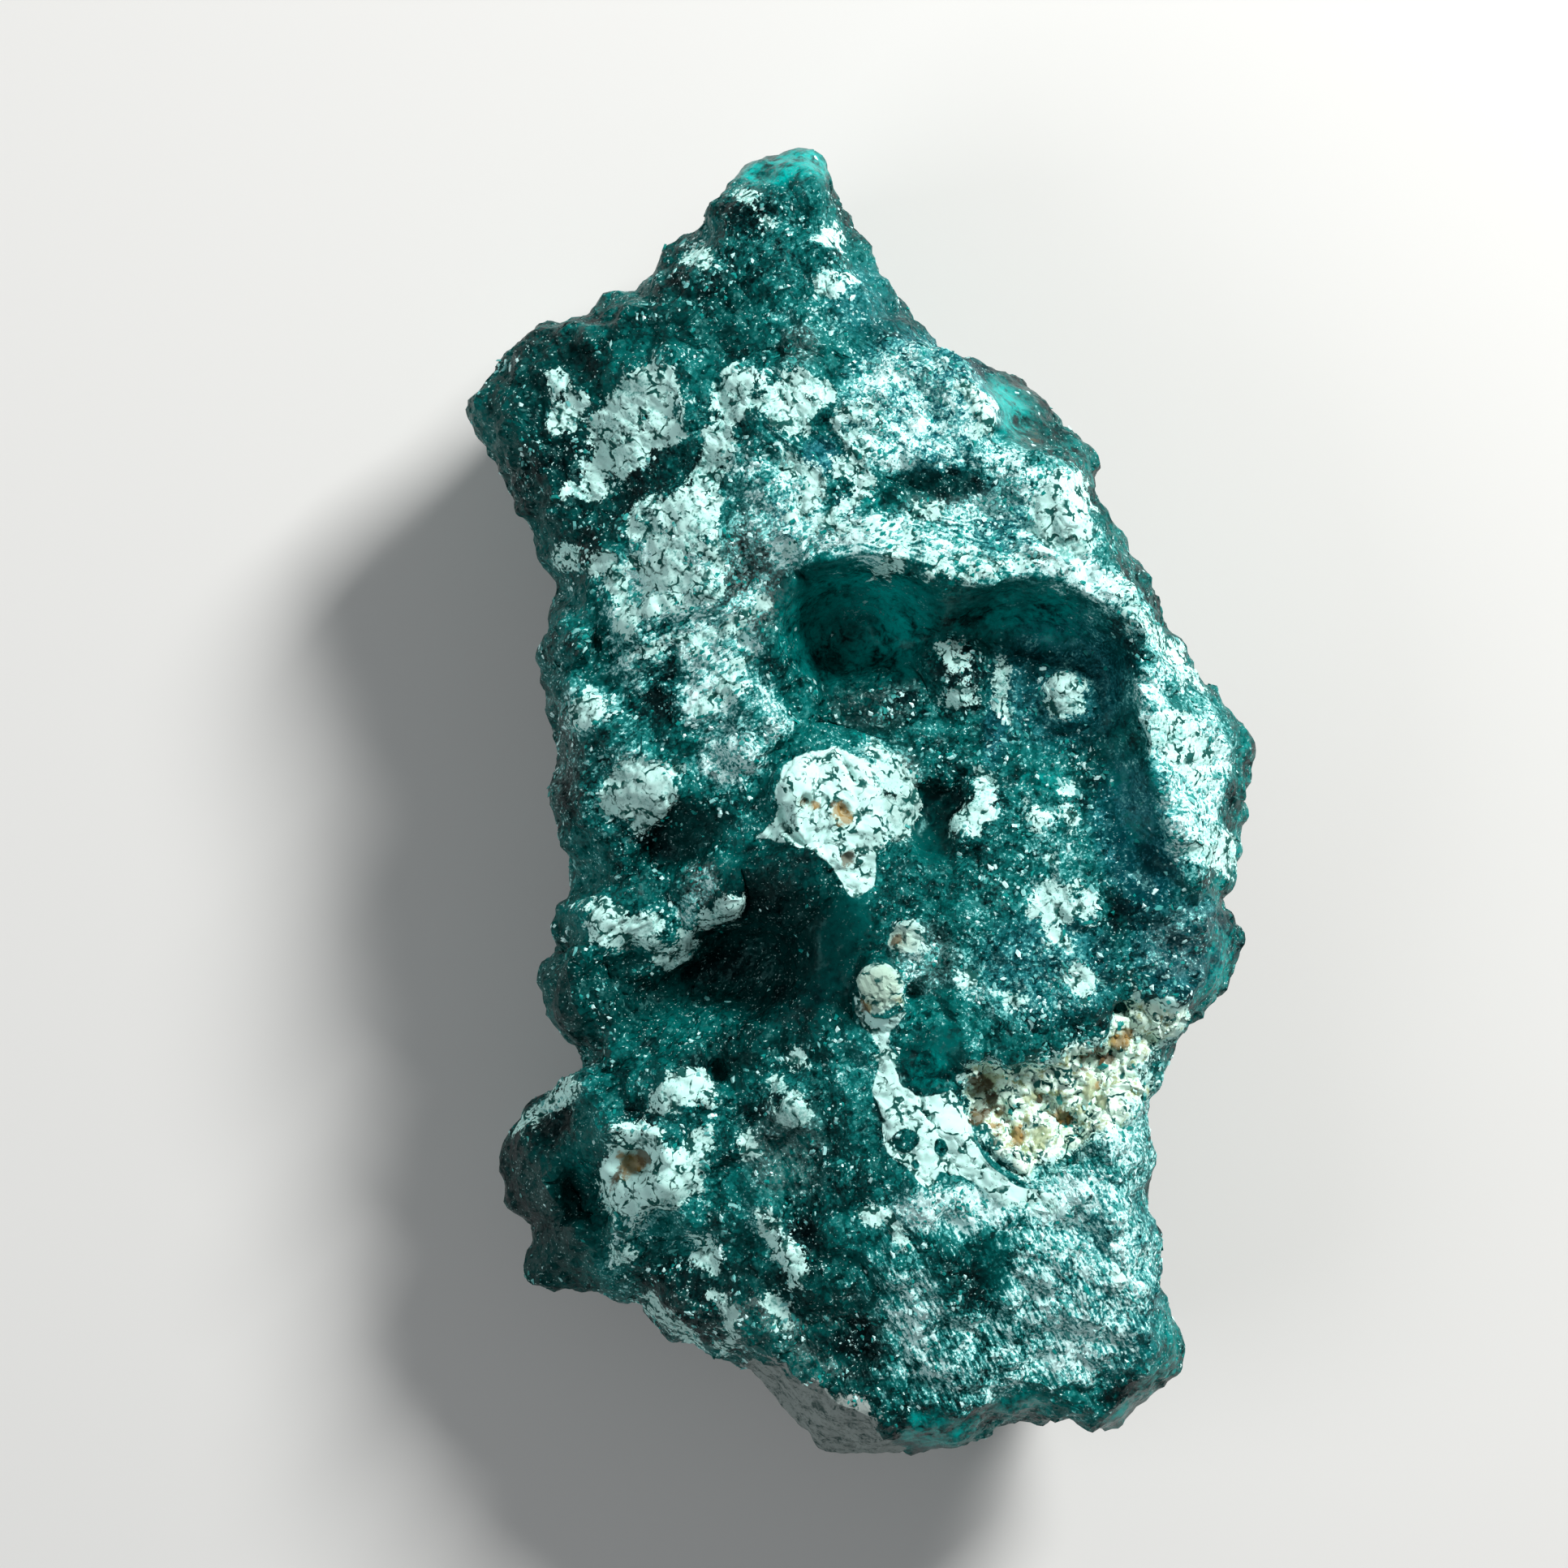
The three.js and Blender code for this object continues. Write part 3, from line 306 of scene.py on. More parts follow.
# Solid white crusts with a crisp border, and the holes in them
SOLID_CRUSTS = [
    [(-0.3, -11.9), (0.5, -12.7), (1.6, -13), (2.8, -12.9), (1.9, -14.2), (1.65, -15.2), (1.9, -16.1),
     (2.9, -17.7), (3.9, -18.5), (5.4, -18), (6.3, -19.1), (6.9, -21), (8.2, -22.7), (9.8, -24),
     (12.4, -24.5), (12.6, -25), (10.1, -25.1), (8.2, -24.7), (7, -23.8), (4.9, -22.9), (4.4, -24.2),
     (3, -22.9), (1.6, -22), (1.4, -19.9), (0.8, -18), (1.3, -16.1), (1.2, -15.2), (0.4, -14.2),
     (-0.3, -13)],
    [(-4.6, 2.4), (-3.2, 3.5), (-1.4, 3.6), (0.3, 2.8), (1.4, 1.2), (1.6, -0.4), (1.2, -2), (0.8, -3.4),
     (1.1, -5.1), (-0.3, -5.9), (-1.3, -5), (-1.7, -3.8), (-3.1, -2.9), (-4.6, -2.3), (-6.6, -2),
     (-5.5, -0.9), (-5.2, 0.6)],
    [(15.8, -13.8), (16.6, -12.2), (17.6, -11.3), (18.4, -12.1), (19.8, -11.8), (20.8, -13),
     (20.2, -14.4), (18.8, -14.9), (18.2, -15.9), (17, -16.6), (17.4, -15)],
    [(-16.4, -23.4), (-15.6, -21.6), (-14.2, -21), (-13.2, -22), (-12.6, -23.6), (-13, -25),
     (-14.6, -25.6), (-16, -25)],
]
SOLID_HOLES = [
    (2.9, -21.2, 0.85), (5.2, -21.5, 0.5), (3.6, -22.7, 0.25), (16.7, -12.8, 0.4), (19.2, -13.3, 0.5),
    (18.5, -14.2, 0.25), (-14.5, -23, 0.6),
]
VUG_OUTLINE = [
    (6.8, -16.2), (8.4, -15.8), (10, -16.6), (12, -16), (13.2, -15), (15.5, -14.7), (15.8, -13.8),
    (16.6, -12.4), (17.2, -11.3), (18.5, -12), (20, -12.1), (20.8, -13.2), (20.3, -14.6),
    (18.8, -15.2), (18.5, -16), (17.5, -16.8), (18.6, -18.5), (17, -19), (16.9, -20.4),
    (15.2, -21.2), (13.8, -22), (11.4, -23.3), (10, -23.2), (8.6, -22.2), (7.3, -20.6),
    (6.4, -19.2),
]
MATRIX_FLAKE = [
    (-7.3, -36), (-5.3, -35.3), (-3.8, -36.3), (-1.8, -37.8), (1, -39), (1.5, -40.2), (2.8, -42.2),
    (2.8, -44), (-2.3, -44), (-4.6, -40.6), (-6.8, -37.6),
]
# Small round crusts: x, y, radius
CRUST_SPOTS = [
    (-10, 34.8, 0.8), (-7, 38.7, 0.6), (-6, 37.3, 0.4), (-19, 26.9, 0.6), (-18.3, 26, 0.5),
    (-19, 25.2, 0.9), (-18.5, 20, 0.7), (-17, 20.8, 0.8), (-18.5, 16.3, 0.8), (-16, 15.3, 0.7),
    (-13.4, 18.4, 1.2), (0, 22.6, 1.0), (-1.8, 33, 0.6), (-2, 36, 0.6), (6, 9.4, 0.8), (6.3, 7.2, 0.8),
    (13.1, 7.2, 0.9), (12.5, 6.6, 0.5), (11, -1, 0.7), (13.3, 1.2, 0.5), (13.3, -0.9, 0.5),
    (12.2, -3.3, 0.5), (14.3, -6.3, 0.6), (14, -11.3, 0.8), (3.3, -8.3, 0.9), (-9.7, -28.8, 1.0),
    (-15.3, -28.8, 0.7), (-4.1, -19.3, 0.7), (-5.2, -18, 0.6), (-4, -16.2, 0.6), (-8.6, 7.4, 0.8),
    (21.6, 8, 0.6), (20.4, 10.2, 0.7), (-17, 6.2, 0.9), (16.2, -29.6, 0.5), (-7.2, -21.8, 0.7),
    (6.8, -10.8, 0.6), (9.6, -12.2, 0.6), (12.5, -8.2, 0.6),
]
# Crust laid as narrow veins: width and the points of its middle line
CRUST_VEINS = [
    (0.55, [(-16.5, 15.5), (-15.6, 14.4), (-15, 13), (-14.9, 11.2)]),
    (0.5, [(-14.2, 15.4), (-13, 13.8), (-12, 13)]),
    (0.55, [(-4.5, 21.6), (-3.3, 21.2), (-3, 20), (-3.6, 18.8), (-4.4, 18.3)]),
    (0.5, [(-1.4, 21.4), (-0.4, 21), (0, 20.2), (-0.9, 19.3), (-2, 18)]),
    (0.35, [(-2.5, 17.8), (-1, 17.6), (0.5, 17.4)]),
    (0.4, [(3, 18.2), (3.6, 18.8), (5, 18.6)]),
    (0.45, [(6.5, 26.2), (7.4, 25.4), (8, 24.6), (7.8, 23.5)]),
    (0.3, [(-1.5, 24), (-0.6, 24.8), (0.6, 24.9), (1.2, 24.2)]),
    (0.45, [(1.2, 15.2), (2.4, 15.8), (3, 16.8)]),
    (0.2, [(-5, 16), (-3, 17.2), (0, 17), (2, 16.2), (4, 15.6), (8, 15.3), (12, 15.2)]),
    (0.2, [(4.4, 14.9), (6, 14.5), (9, 15)]),
    (0.3, [(-18.3, -18.1), (-20, -19.8), (-22.5, -21.5)]),
    (0.4, [(-8, -6), (-9.4, -7), (-11.2, -8.2), (-12.8, -10)]),
    (0.35, [(8.8, 8.6), (9.1, 7), (9.3, 6)]),
    (0.4, [(16, 14), (17.4, 12), (19, 10), (20.6, 8)]),
    (0.35, [(1.2, -14.6), (1.5, -15.6), (2.1, -16.6)]),
    (0.3, [(8, -24.6), (9.6, -25.2), (12.4, -25.1)]),
    (0.35, [(0.4, -25.8), (1.6, -26.2), (2.9, -27.6)]),
    (0.45, [(-6, -26), (-5, -28), (-4, -29.8)]),
    (0.4, [(-5.6, -31.6), (-4.8, -32.8)]),
    (0.45, [(-13.6, -31.8), (-11.6, -33.4), (-10.6, -34.8)]),
    (0.35, [(-9, -31), (-8.2, -33), (-8.6, -35)]),
    (0.4, [(-15.2, 12), (-12, 13), (-9.4, 13.6)]),
    (0.35, [(-14, 10.3), (-11, 10.2), (-8, 11.4), (-6, 13)]),
    (0.35, [(-10, 6), (-9, 8), (-7, 9.6)]),
]
# Holes in the crusts, where the dark stone shows: x, y, radius
CRUST_HOLES = [
    (-13.4, 18.4, 0.35), (0, 22.6, 0.3), (-12, 17.6, 0.35), (-10.2, 15.6, 0.5), (-9.4, 16.8, 0.4),
    (-3.4, 25.6, 0.3), (-6.8, 25.8, 0.4), (-11.6, 25.2, 0.5), (-13.6, 24.2, 0.3), (-11.7, 2.3, 0.5),
    (3, -21.3, 1.05), (5.4, -21.5, 0.6), (-9, -17, 0.7), (16.6, -12.9, 0.75), (19.4, -13.4, 0.5),
    (18.6, -14.8, 0.35), (-3.5, 0.3, 0.5), (-1.1, 0, 0.45), (-0.9, -3.3, 0.5), (6.4, 9, 0.3),
    (2.6, -22.8, 0.4), (6.2, -23.4, 0.5), (7.6, -24, 0.4), (13.3, -19.9, 0.5), (1.6, 0.8, 0.4),
]
# Frost, painted in this order: x, y, half width, half height, turn in degrees, density
FROST_ZONES = [
    (-5, 36, 5.5, 5.5, 0, 0.5),
    (-18, 27, 7.5, 6, 30, 0.16),
    (-9.5, 31, 6, 3, 0, 0.3),
    (-1.5, 32, 4.5, 4.5, -40, 0.5),
    (2.4, 29.8, 3.2, 3.4, -40, 0.3),
    (7.4, 27.8, 3.4, 1.8, -30, 0.25),
    (3.4, 25.2, 4.8, 5.6, -35, 1.0),
    (12, 24.6, 4, 3.2, -45, 0.25),
    (9.5, 18.8, 5.5, 4, -30, 1.1),
    (15.4, 19, 1.6, 4.4, 25, 0.2),
    (19.2, 12.8, 1.8, 2.6, 30, 0.2),
    (5, 20.3, 3.8, 1.3, 0, 0.3),
    (-18.5, 19, 4.5, 6, 0, 0.34),
    (-6, 18, 3.2, 6, 0, 0.72),
    (3, 16.6, 10, 1.8, 0, 0.8),
    (-15, 9, 6, 6, 0, 0.5),
    (-9.2, 9, 3.2, 5, -15, 1.1),
    (-8.4, 3.4, 2.6, 2.6, 0, 0.9),
    (-12, 14.4, 3.4, 2.8, 0, 1.2),
    (-13.6, 9, 2.4, 2.6, 0, 0.95),
    (-16, 2.5, 4, 5, 0, 0.66),
    (-11.3, -1.6, 2.6, 2.6, 0, 0.1),
    (11, 6, 7, 8, 0, 0.42),
    (10.8, -5, 6, 10, 0, 0.5),
    (10, -11, 6, 3.4, 0, 0.66),
    (17.6, -21, 2.6, 4.2, 0, 0.95),
    (2.4, 4, 3, 4.2, 0, 0.5),
    (2.8, 0.4, 1.4, 2.6, 0, 0.3),
    (-4, 5.4, 2.8, 3.4, 0, 0.32),
    (17.8, -1, 2.4, 5.5, 15, 0.14),
    (20.5, -9, 4, 4, 20, 0.52),
    (21.4, 1.2, 2.8, 6.4, -10, 0.95),
    (24.6, 4, 1.6, 3, 0, 0.5),
    (4.6, -1, 1.6, 2.6, 0, 0.05),
    (4.4, -5, 2.4, 2, 0, 0.45),
    (4, -10.4, 2, 3.6, 0, 0.6),
    (-5, -9, 6.5, 6.5, 0, 0.04),
    (-16.5, -9.5, 4.5, 5.5, 0, 0.27),
    (-10, -15, 6, 4, 0, 0.28),
    (-3, -20, 4.5, 5.5, 0, 0.5),
    (-11.4, -15, 3.4, 1.8, 0, 0.15),
    (-19.5, -25.5, 5, 6.5, 0, 0.07),
    (-11, -30.5, 6.5, 4.5, -15, 0.4),
    (-1, -31, 6, 7, -25, 0.45),
    (9, -33.5, 9, 8, 0, 0.95),
    (12.6, -38, 3, 2.2, 0, 0.4),
    (-7, -34.4, 3.4, 2.2, -20, 0.25),
    (15, -29, 5.5, 8, 8, 0.97),
    (7, -29, 3.2, 3.2, 0, 0.5),
    (6, -25.6, 4.6, 1.9, 0, 1.05),
    (-2.6, -29.6, 3, 3, 0, 0.3),
    (4, -16.8, 2, 2, 0, 0.16),
    (5, -12.8, 2.4, 1.6, 0, 0.3),
]
# Dark glassy places with a clear border: density of the frost, smoothness, and their outlines
GLASSY_SHAPES = [
    (0.3, 1.0, [(-5.7, 12.4), (-5.4, 14), (-4, 15), (-2, 15.4), (0.6, 15.6), (3, 15.2), (4.4, 14.2),
     (5.2, 13.4), (7, 13.9), (9.6, 14.2), (12.6, 13.6), (14, 12.6), (13, 10.4), (9.6, 10.4), (8, 10.8),
     (6, 10.8), (4.6, 10.4), (3.8, 8.6), (3.2, 7.2), (1.6, 8.2), (-0.4, 8.4), (-2.6, 7.4), (-4.2, 8.6),
     (-4.7, 10.6)]),
    (0.55, 0.9, [(14.2, 12.8), (16.8, 12), (17.8, 9), (18, 5), (18.6, 2), (19.6, -1), (20.4, -4.6),
     (18.6, -6), (17, -4), (16, 0), (15.4, 4), (14.6, 7.4), (11, 9.4), (10.4, 11)]),
    (0.16, 0.5, [(-9.6, -3), (-7, -2.2), (-5, -3.4), (-2.5, -3.6), (-1.3, -5), (0.3, -6.4), (1.6, -7.8),
     (0.6, -9.6), (-0.4, -11.2), (-1.4, -12.8), (-3, -14), (-6, -14.4), (-9, -13.6), (-12, -12.6),
     (-13, -11), (-11, -9.4), (-9.6, -7.6), (-8.6, -5.8)]),
    (0.1, 0.4, [(-22.8, -21.8), (-21, -20.6), (-18.6, -19), (-17, -19.6), (-16.4, -22), (-17.2, -25),
     (-16.6, -28), (-17.6, -30.5), (-21, -30.5), (-22, -27), (-23, -24.5)]),
    (0.05, 0.9, [(3.1, 1.2), (5, 1.6), (6.4, 0.4), (6.2, -1.6), (5.8, -3.6), (3.4, -3.4), (2.9, -1)]),
    (0.14, 0.9, [(3.3, -14.4), (5.6, -13.8), (7, -15.4), (6.2, -17.2), (5, -17.8), (3.6, -17.4),
     (2.6, -16)]),
    (0.3, 0.5, [(-14, -1), (-12.6, 0.6), (-10, 0.6), (-8.8, -1.4), (-9.4, -3.6), (-11.6, -4.6),
     (-13.6, -3.4)]),
]
# Bands of dense frost: width, density and the points along them
FROST_LINES = [
    (1.4, 1.0, [(-4.6, 16.2), (-1.6, 17.4), (1.4, 17.6), (4.6, 16.6), (7.4, 15.6), (11, 15.8), (14, 14.6),
     (16.2, 13), (17.2, 11)]),
    (1.0, 1.0, [(17.6, 12.6), (18.4, 9), (18.8, 5.4), (19.4, 2)]),
    (1.3, 0.95, [(-15, 11.5), (-11, 11.4), (-8, 12.4), (-6, 13.6)]),
    (1.0, 0.9, [(-8.4, 9.8), (-6.4, 7.4), (-5.4, 5)]),
    (0.8, 0.9, [(-9.6, -4.2), (-10.2, -5.6), (-11, -7)]),
]
# Glassy, smooth zones: x, y, half width, half height, turn in degrees, strength
GLASS_ZONES = [
    (-5, 41.3, 4, 2, 0, 0.85),
    (0.4, 12.2, 6, 4.6, 0, 1.0),
    (11, 12.2, 7.2, 2.8, -6, 0.9),
    (1.2, 8.6, 5, 2, 0, 0.6),
    (4.6, -1.2, 1.6, 2.6, 0, 0.9),
    (-1.5, -9, 2.4, 5, -20, 0.9),
    (9, 25, 3.4, 3.6, -35, 0.9),
    (6.4, -26.7, 1.6, 0.9, 0, 0.9),
    (8.6, -29, 1.3, 2.2, 0, 0.9),
    (8.8, -32.8, 1.1, 1, 0, 0.8),
    (4, -16.6, 1.8, 1.9, 0, 0.9),
    (18, -3, 2, 4, 15, 0.6),
    (3.6, -41.2, 2.8, 1, 0, 1.0),
    (17, -39.4, 2.6, 1.3, 30, 1.0),
]
# Painted light: a glow painted into the colour where light would come through the stone, and over walls
# that lie in shadow: x, y, half width, half height, turn in degrees, strength
PAINTED_GLOW_ZONES = [
    (8.4, 25, 3, 2.4, -35, 0.8),
    (-1.5, 14, 2.2, 0.8, 40, 0.5),
    (2.2, 12.6, 0.7, 1.8, -20, 0.45),
    (8.8, 12.5, 2.6, 0.8, -20, 0.5),
    (-0.2, 12, 5.6, 4.6, 0, 0.75),
    (-3.4, 10.4, 2.2, 2.6, 0, 0.5),
    (10, 12.4, 6, 2.8, -8, 0.6),
    (-5, 41.2, 4.5, 1.8, 0, 0.5),
    (17.6, 1.5, 2, 5.5, 10, 0.35),
    (4.6, -16.6, 2, 1.6, 0, 0.42),
    (11.8, 1.4, 2.4, 1.4, 0, 0.5),
    (7.2, 0.8, 0.7, 1, 0, 0.5),
    (12, -6.6, 2.6, 1.4, 0, 0.5),
    (21.5, 0.5, 2.4, 4.5, -8, 0.7),
    (14.5, -24, 2, 1.6, 0, 0.5),
    (16, -34, 4.5, 5, 0, 0.4),
    (-18, -23, 1.2, 1.2, 0, 0.3),
    (4, -13, 1.4, 1, 0, 0.35),
    (12, -12, 2, 1.4, 0, 0.3),
    (1, 18.8, 1.4, 0.9, 0, 0.5),
]
# Blue-grey tint, in part a painted sheen where the slopes face the light: x, y, half width, half height,
# turn in degrees, strength
BLUE_SHEEN_ZONES = [
    (4, 25.6, 5.5, 5, -35, 0.8),
    (-2.5, 22, 1.5, 1.4, 0, 1.0),
    (-0.9, 18.9, 0.8, 0.8, 0, 1.0),
    (-4.6, 18, 1.4, 2.4, 0, 0.7),
    (9.8, 18, 4, 3, 0, 0.5),
    (8.8, 5, 0.9, 2.8, -5, 0.9),
    (13, 8, 5, 5, 0, 0.7),
    (17.6, -2, 3, 6, 12, 0.9),
    (20.5, -9, 4, 4, 0, 0.7),
    (12, -10, 5, 4, 0, 0.5),
    (0.6, 32, 3, 3, -40, 0.4),
    (4, -25.6, 2, 1.2, 0, 0.6),
    (16, -30, 5, 7, 0, 0.3),
]
# Nearly black stone, darkened as painted shade over hollows and slopes that lie in shadow: x, y, half
# width, half height, turn in degrees, strength
DEEP_SHADE_ZONES = [
    (-5, -9, 6.5, 6.5, 0, 1.0),
    (-16, -12, 4.5, 3, 0, 0.8),
    (-11.4, -1.8, 2.8, 2.8, 0, 1.0),
    (-9.5, 31, 5, 2.6, 0, 0.5),
    (-21, 24, 5, 7, 0, 0.5),
    (13.5, 9.6, 4.5, 2.2, 0, 0.6),
    (17.8, -2, 2.6, 6, 15, 0.3),
    (4.6, -1, 1.7, 2.8, 0, 0.7),
    (-21, -27, 4, 6, 0, 0.9),
    (-9, -30.3, 6, 1.8, 0, 0.7),
    (5, 20.4, 3.8, 1.2, 0, 0.8),
    (7, -29.5, 3, 3, 0, 0.4),
    (-6, -15.8, 5, 2, 0, 0.7),
    (-2, -30.5, 4, 2.4, 0, 0.6),
    (-1, -34, 3, 2, -40, 0.5),
    (-17, 19, 4, 5, 0, 0.5),
    (2, -20, 1.2, 4, 0, 0.4),
]
# Streaks: their direction, their length to width, how far they show, and the noise that draws them
STREAKS = {
    "steep": (math.radians(-63), 5.0, 1.0, (0.24, 3.0, 0.65, 0.0)),
    "rising": (math.radians(28), 3.2, 0.7, (0.34, 2.0, 0.65, 0.6)),
}
# Where they lie: x, y, half width, half height, turn in degrees, strength
STEEP_STREAKS = [(8, -33, 14, 9, 0, 1.0), (15, -25, 5, 5, 0, 0.7), (-4, -22, 4, 5, 0, 0.5)]
RISING_STREAKS = [(-13, 9, 8, 8, 0, 1.0), (2, 16.4, 11, 2.2, 0, 1.0), (-17, 4, 4, 6, 0, 0.6)]
# Streaks that follow the ridge round the bowl: its line, their length to width and to height, and zones
FLOW_LINE = [
    (-24, 1), (-20, 4.4), (-16, 7.4), (-12, 10), (-8.4, 13), (-5.6, 15.6), (-2.2, 17.2), (1.4, 17.6),
    (4.6, 17), (7.6, 16), (11, 15.8), (14, 14.8), (16.8, 12.4), (18.4, 9), (19.6, 4), (21, -3),
]
FLOW_STRETCH = 9.0
FLOW_FLATNESS = 2.0
FLOW_ZONES = [(-13, 9, 9, 7, 30, 0.8), (3, 16.4, 12, 3.4, 0, 1.0), (-4, 19.6, 6, 3, 20, 0.5)]
# Stains in the vug and the pits: x, y, radius
BROWN_SPOTS = [
    (7.6, -17.6, 0.9), (8.5, -18.6, 0.8), (7.4, -19.7, 0.7), (9.2, -19.4, 0.6), (14.5, -15.7, 0.7),
    (15.6, -16.3, 0.6), (14.2, -16.9, 0.3), (11.3, -18.8, 0.3), (10.8, -22, 0.35),
    (-3.6, 0.4, 0.45), (-1.4, -0.1, 0.3), (-0.9, -3.3, 0.6), (11, 23.3, 0.3), (2.6, -8.6, 0.5),
    (0.4, -12.6, 0.5), (-14.1, -22.7, 0.7), (-15.6, -24, 0.4), (9.4, -20.3, 0.4), (8.2, -21.4, 0.35),
]
OCHRE_SPOTS = [
    (12.6, -19.5, 0.6), (16.8, -14.6, 0.65), (16.3, -15.1, 0.5), (9.8, -21.3, 0.6),
    (-14.9, -23.3, 0.8), (-15.4, -22.6, 0.5), (-1, -0.6, 0.65), (13.2, -20, 0.4),
    (8.4, -20.6, 0.4), (15.2, -17.8, 0.35), (-3.1, 0.1, 0.4), (0.2, -12.2, 0.4),
]
CREAM_SPOTS = [(1.4, -11.4, 1.25), (2.9, -8.6, 0.9)]
OLIVE_SPOTS = [
    (10.7, -18.4, 0.5), (11.2, -21.4, 0.7), (14.6, -18, 0.8), (15.6, -19, 0.7), (13.8, -19.2, 0.5),
    (0.6, -12.3, 0.4), (2.4, -12.2, 0.4), (8.3, -17.2, 0.6), (9.8, -20.8, 0.5),
]
# Dark pits and cracks pressed into the face: x, y, radius, depth
PITS = [
    (-11.7, 2.3, 0.55, 0.9), (-9, -17, 0.8, 0.8), (16.6, -12.9, 0.7, 0.9), (-14.3, -22.8, 1.0, 0.9),
    (3.4, -11.8, 0.7, 1.0), (7.9, -18.4, 1.4, 0.5), (10.8, -21.6, 1.2, 0.4), (13.4, -19.9, 0.7, 0.7),
    (-3.5, 0.3, 0.5, 0.5), (-1.1, -0.2, 0.55, 0.5), (-0.9, -3.3, 0.5, 0.4), (0, 22.6, 0.4, 0.4),
    (-13.4, 18.4, 0.4, 0.4), (18.6, -14.8, 0.5, 0.5), (-7, -10.6, 3.2, 0.7), (14.6, -16, 1.0, 0.5),
    (-6.2, 4.6, 0.7, 0.5), (8.4, 23, 1.0, 0.5), (-8.8, 21.6, 0.4, 0.3),
]
CRACKS = [
    (0.22, 0.8, [(6.6, -19.5), (7.5, -21.2), (9, -22.8), (10.5, -23.5), (11.5, -23.4), (13.8, -22.4)]),
    (0.12, 0.3, [(3.8, -18.3), (3.9, -19.2), (4.5, -20)]),
    (0.2, 0.5, [(-5.2, 0), (-4.7, -1.4), (-3.6, -2.4)]),
    (0.12, 0.3, [(-1.4, 3.4), (-0.8, 2.4), (-0.3, 1.4)]),
    (0.14, 0.3, [(-6, 24), (-4.6, 22.6), (-5, 21.2)]),
    (0.15, 0.4, [(7, -16.2), (6.6, -17.6), (6.4, -19)]),
]
# Knobs that stand proud: x, y, radius, rise
KNOBS = [
    (1.4, -11.6, 1.5, 0.4), (0, 22.6, 1.1, 0.35),
    (-4.1, -19.3, 0.9, 0.4), (19.6, -13.4, 1.4, 0.4), (3.3, -8.4, 1.5, 0.5), (-3.6, 29.2, 1.4, 0.4),
    (-19.2, 7.6, 1.2, 0.3), (7.6, 0.6, 1.2, 0.3), (-12.6, -24.6, 1.6, 0.3), (11.2, -1.2, 1.1, 0.3),
]
# Rim with a painted glow, as if light came through the thin stone: width, strength and the points along
# it
RIM_LINES = [
    (2.2, 0.55, [(-9, 40.6), (-6, 41.6), (-3.6, 42.4), (-2, 41.6)]),
    (1.0, 0.4, [(-2, 41), (-1.2, 38.4), (0.2, 35.6), (1.4, 33.4), (3.4, 31.4), (5.4, 29.2)]),
    (0.9, 0.25, [(6.4, 28.2), (9.5, 27.6), (12.6, 26), (15, 23.2)]),
    (1.1, 0.6, [(14.2, 22), (15.4, 19.6), (17, 16.4), (18.6, 13.6), (20, 10.6)]),
    (0.9, 0.6, [(20, 10.6), (22.4, 8.2), (24.6, 5), (25.2, 2.6)]),
    (0.8, 0.8, [(25.2, 2.6), (24.8, -1), (24, -3.6), (23.8, -6)]),
    (1.5, 0.8, [(24, -7), (24.4, -9), (23.4, -12), (21.6, -14.6)]),
    (1.0, 0.4, [(20.8, -15.6), (19.2, -18.6), (18.8, -22), (19, -26)]),
    (0.8, 0.5, [(19, -26), (19.4, -30), (20.4, -34), (21, -36.4)]),
    (1.4, 0.8, [(21, -36.4), (19.6, -38), (17, -40)]),
    (1.9, 0.9, [(10, -39), (9, -40), (7, -41), (4.4, -41)]),
    (0.8, 0.4, [(-20, 31.2), (-17, 31.2), (-15.6, 32.4), (-13, 34.6)]),
    (0.7, 0.3, [(-25, 26), (-23.4, 22), (-21.4, 18.6), (-19.8, 15.2)]),
    (0.6, 0.3, [(-12, 35.6), (-10, 38), (-8.6, 40.4)]),
    (0.9, 0.35, [(-20.6, -8), (-20.8, -12), (-19, -15)]),
]
# Neutral grey crust and dust: x, y, half width, half height, turn in degrees, strength
GREY_ZONES = [
    (-6.8, 14.6, 2.6, 4.5, 0, 0.9),
    (-19.2, 4, 1.6, 4.5, 0, 0.8),
    (0.6, 6.4, 2.6, 1.6, 0, 0.6),
    (2.6, 0.6, 1.6, 3.2, 0, 0.9),
    (-4.6, -21.8, 3, 3.6, 0, 0.6),
    (-11, -32.6, 4, 2.4, -20, 0.9),
    (-7.6, -32.6, 2.4, 3, 0, 0.9),
    (-2, -34, 4, 3.6, -30, 0.7),
    (5.6, 19.2, 3.6, 1.6, 0, 0.5),
    (10.8, 23.6, 1.4, 1, 0, 0.8),
    (-3.8, 29, 1.6, 1.6, 0, 0.6),
    (20.6, -8.6, 3, 2.6, 0, 0.5),
    (-9.4, -5, 2, 2, 0, 0.8),
    (-14, 1, 2, 2, 0, 0.6),
    (4, -9.6, 2.4, 2.4, 0, 0.5),
]
# Masks of oval zones
ZONE_MASKS = {
    "glow": PAINTED_GLOW_ZONES, "blue": BLUE_SHEEN_ZONES, "grey": GREY_ZONES, "deep_shade": DEEP_SHADE_ZONES,
    "steep": STEEP_STREAKS, "rising": RISING_STREAKS, "winding": FLOW_ZONES,
}
# Masks of round spots: the spots and half the width of their soft borders
SPOT_MASKS = {
    "cream": (CREAM_SPOTS, 0.4), "brown": (BROWN_SPOTS, 0.7), "ochre": (OCHRE_SPOTS, 0.7),
    "olive": (OLIVE_SPOTS, 0.8),
}
# Corners of a crystal with six four-sided faces, and those faces
CUBE_CORNERS = np.array(list(np.ndindex(2, 2, 2))) * 2.0 - 1
CUBE_SIDES = [(0, 1, 3, 2), (4, 6, 7, 5), (0, 4, 5, 1), (2, 3, 7, 6), (0, 2, 6, 4), (1, 5, 7, 3)]


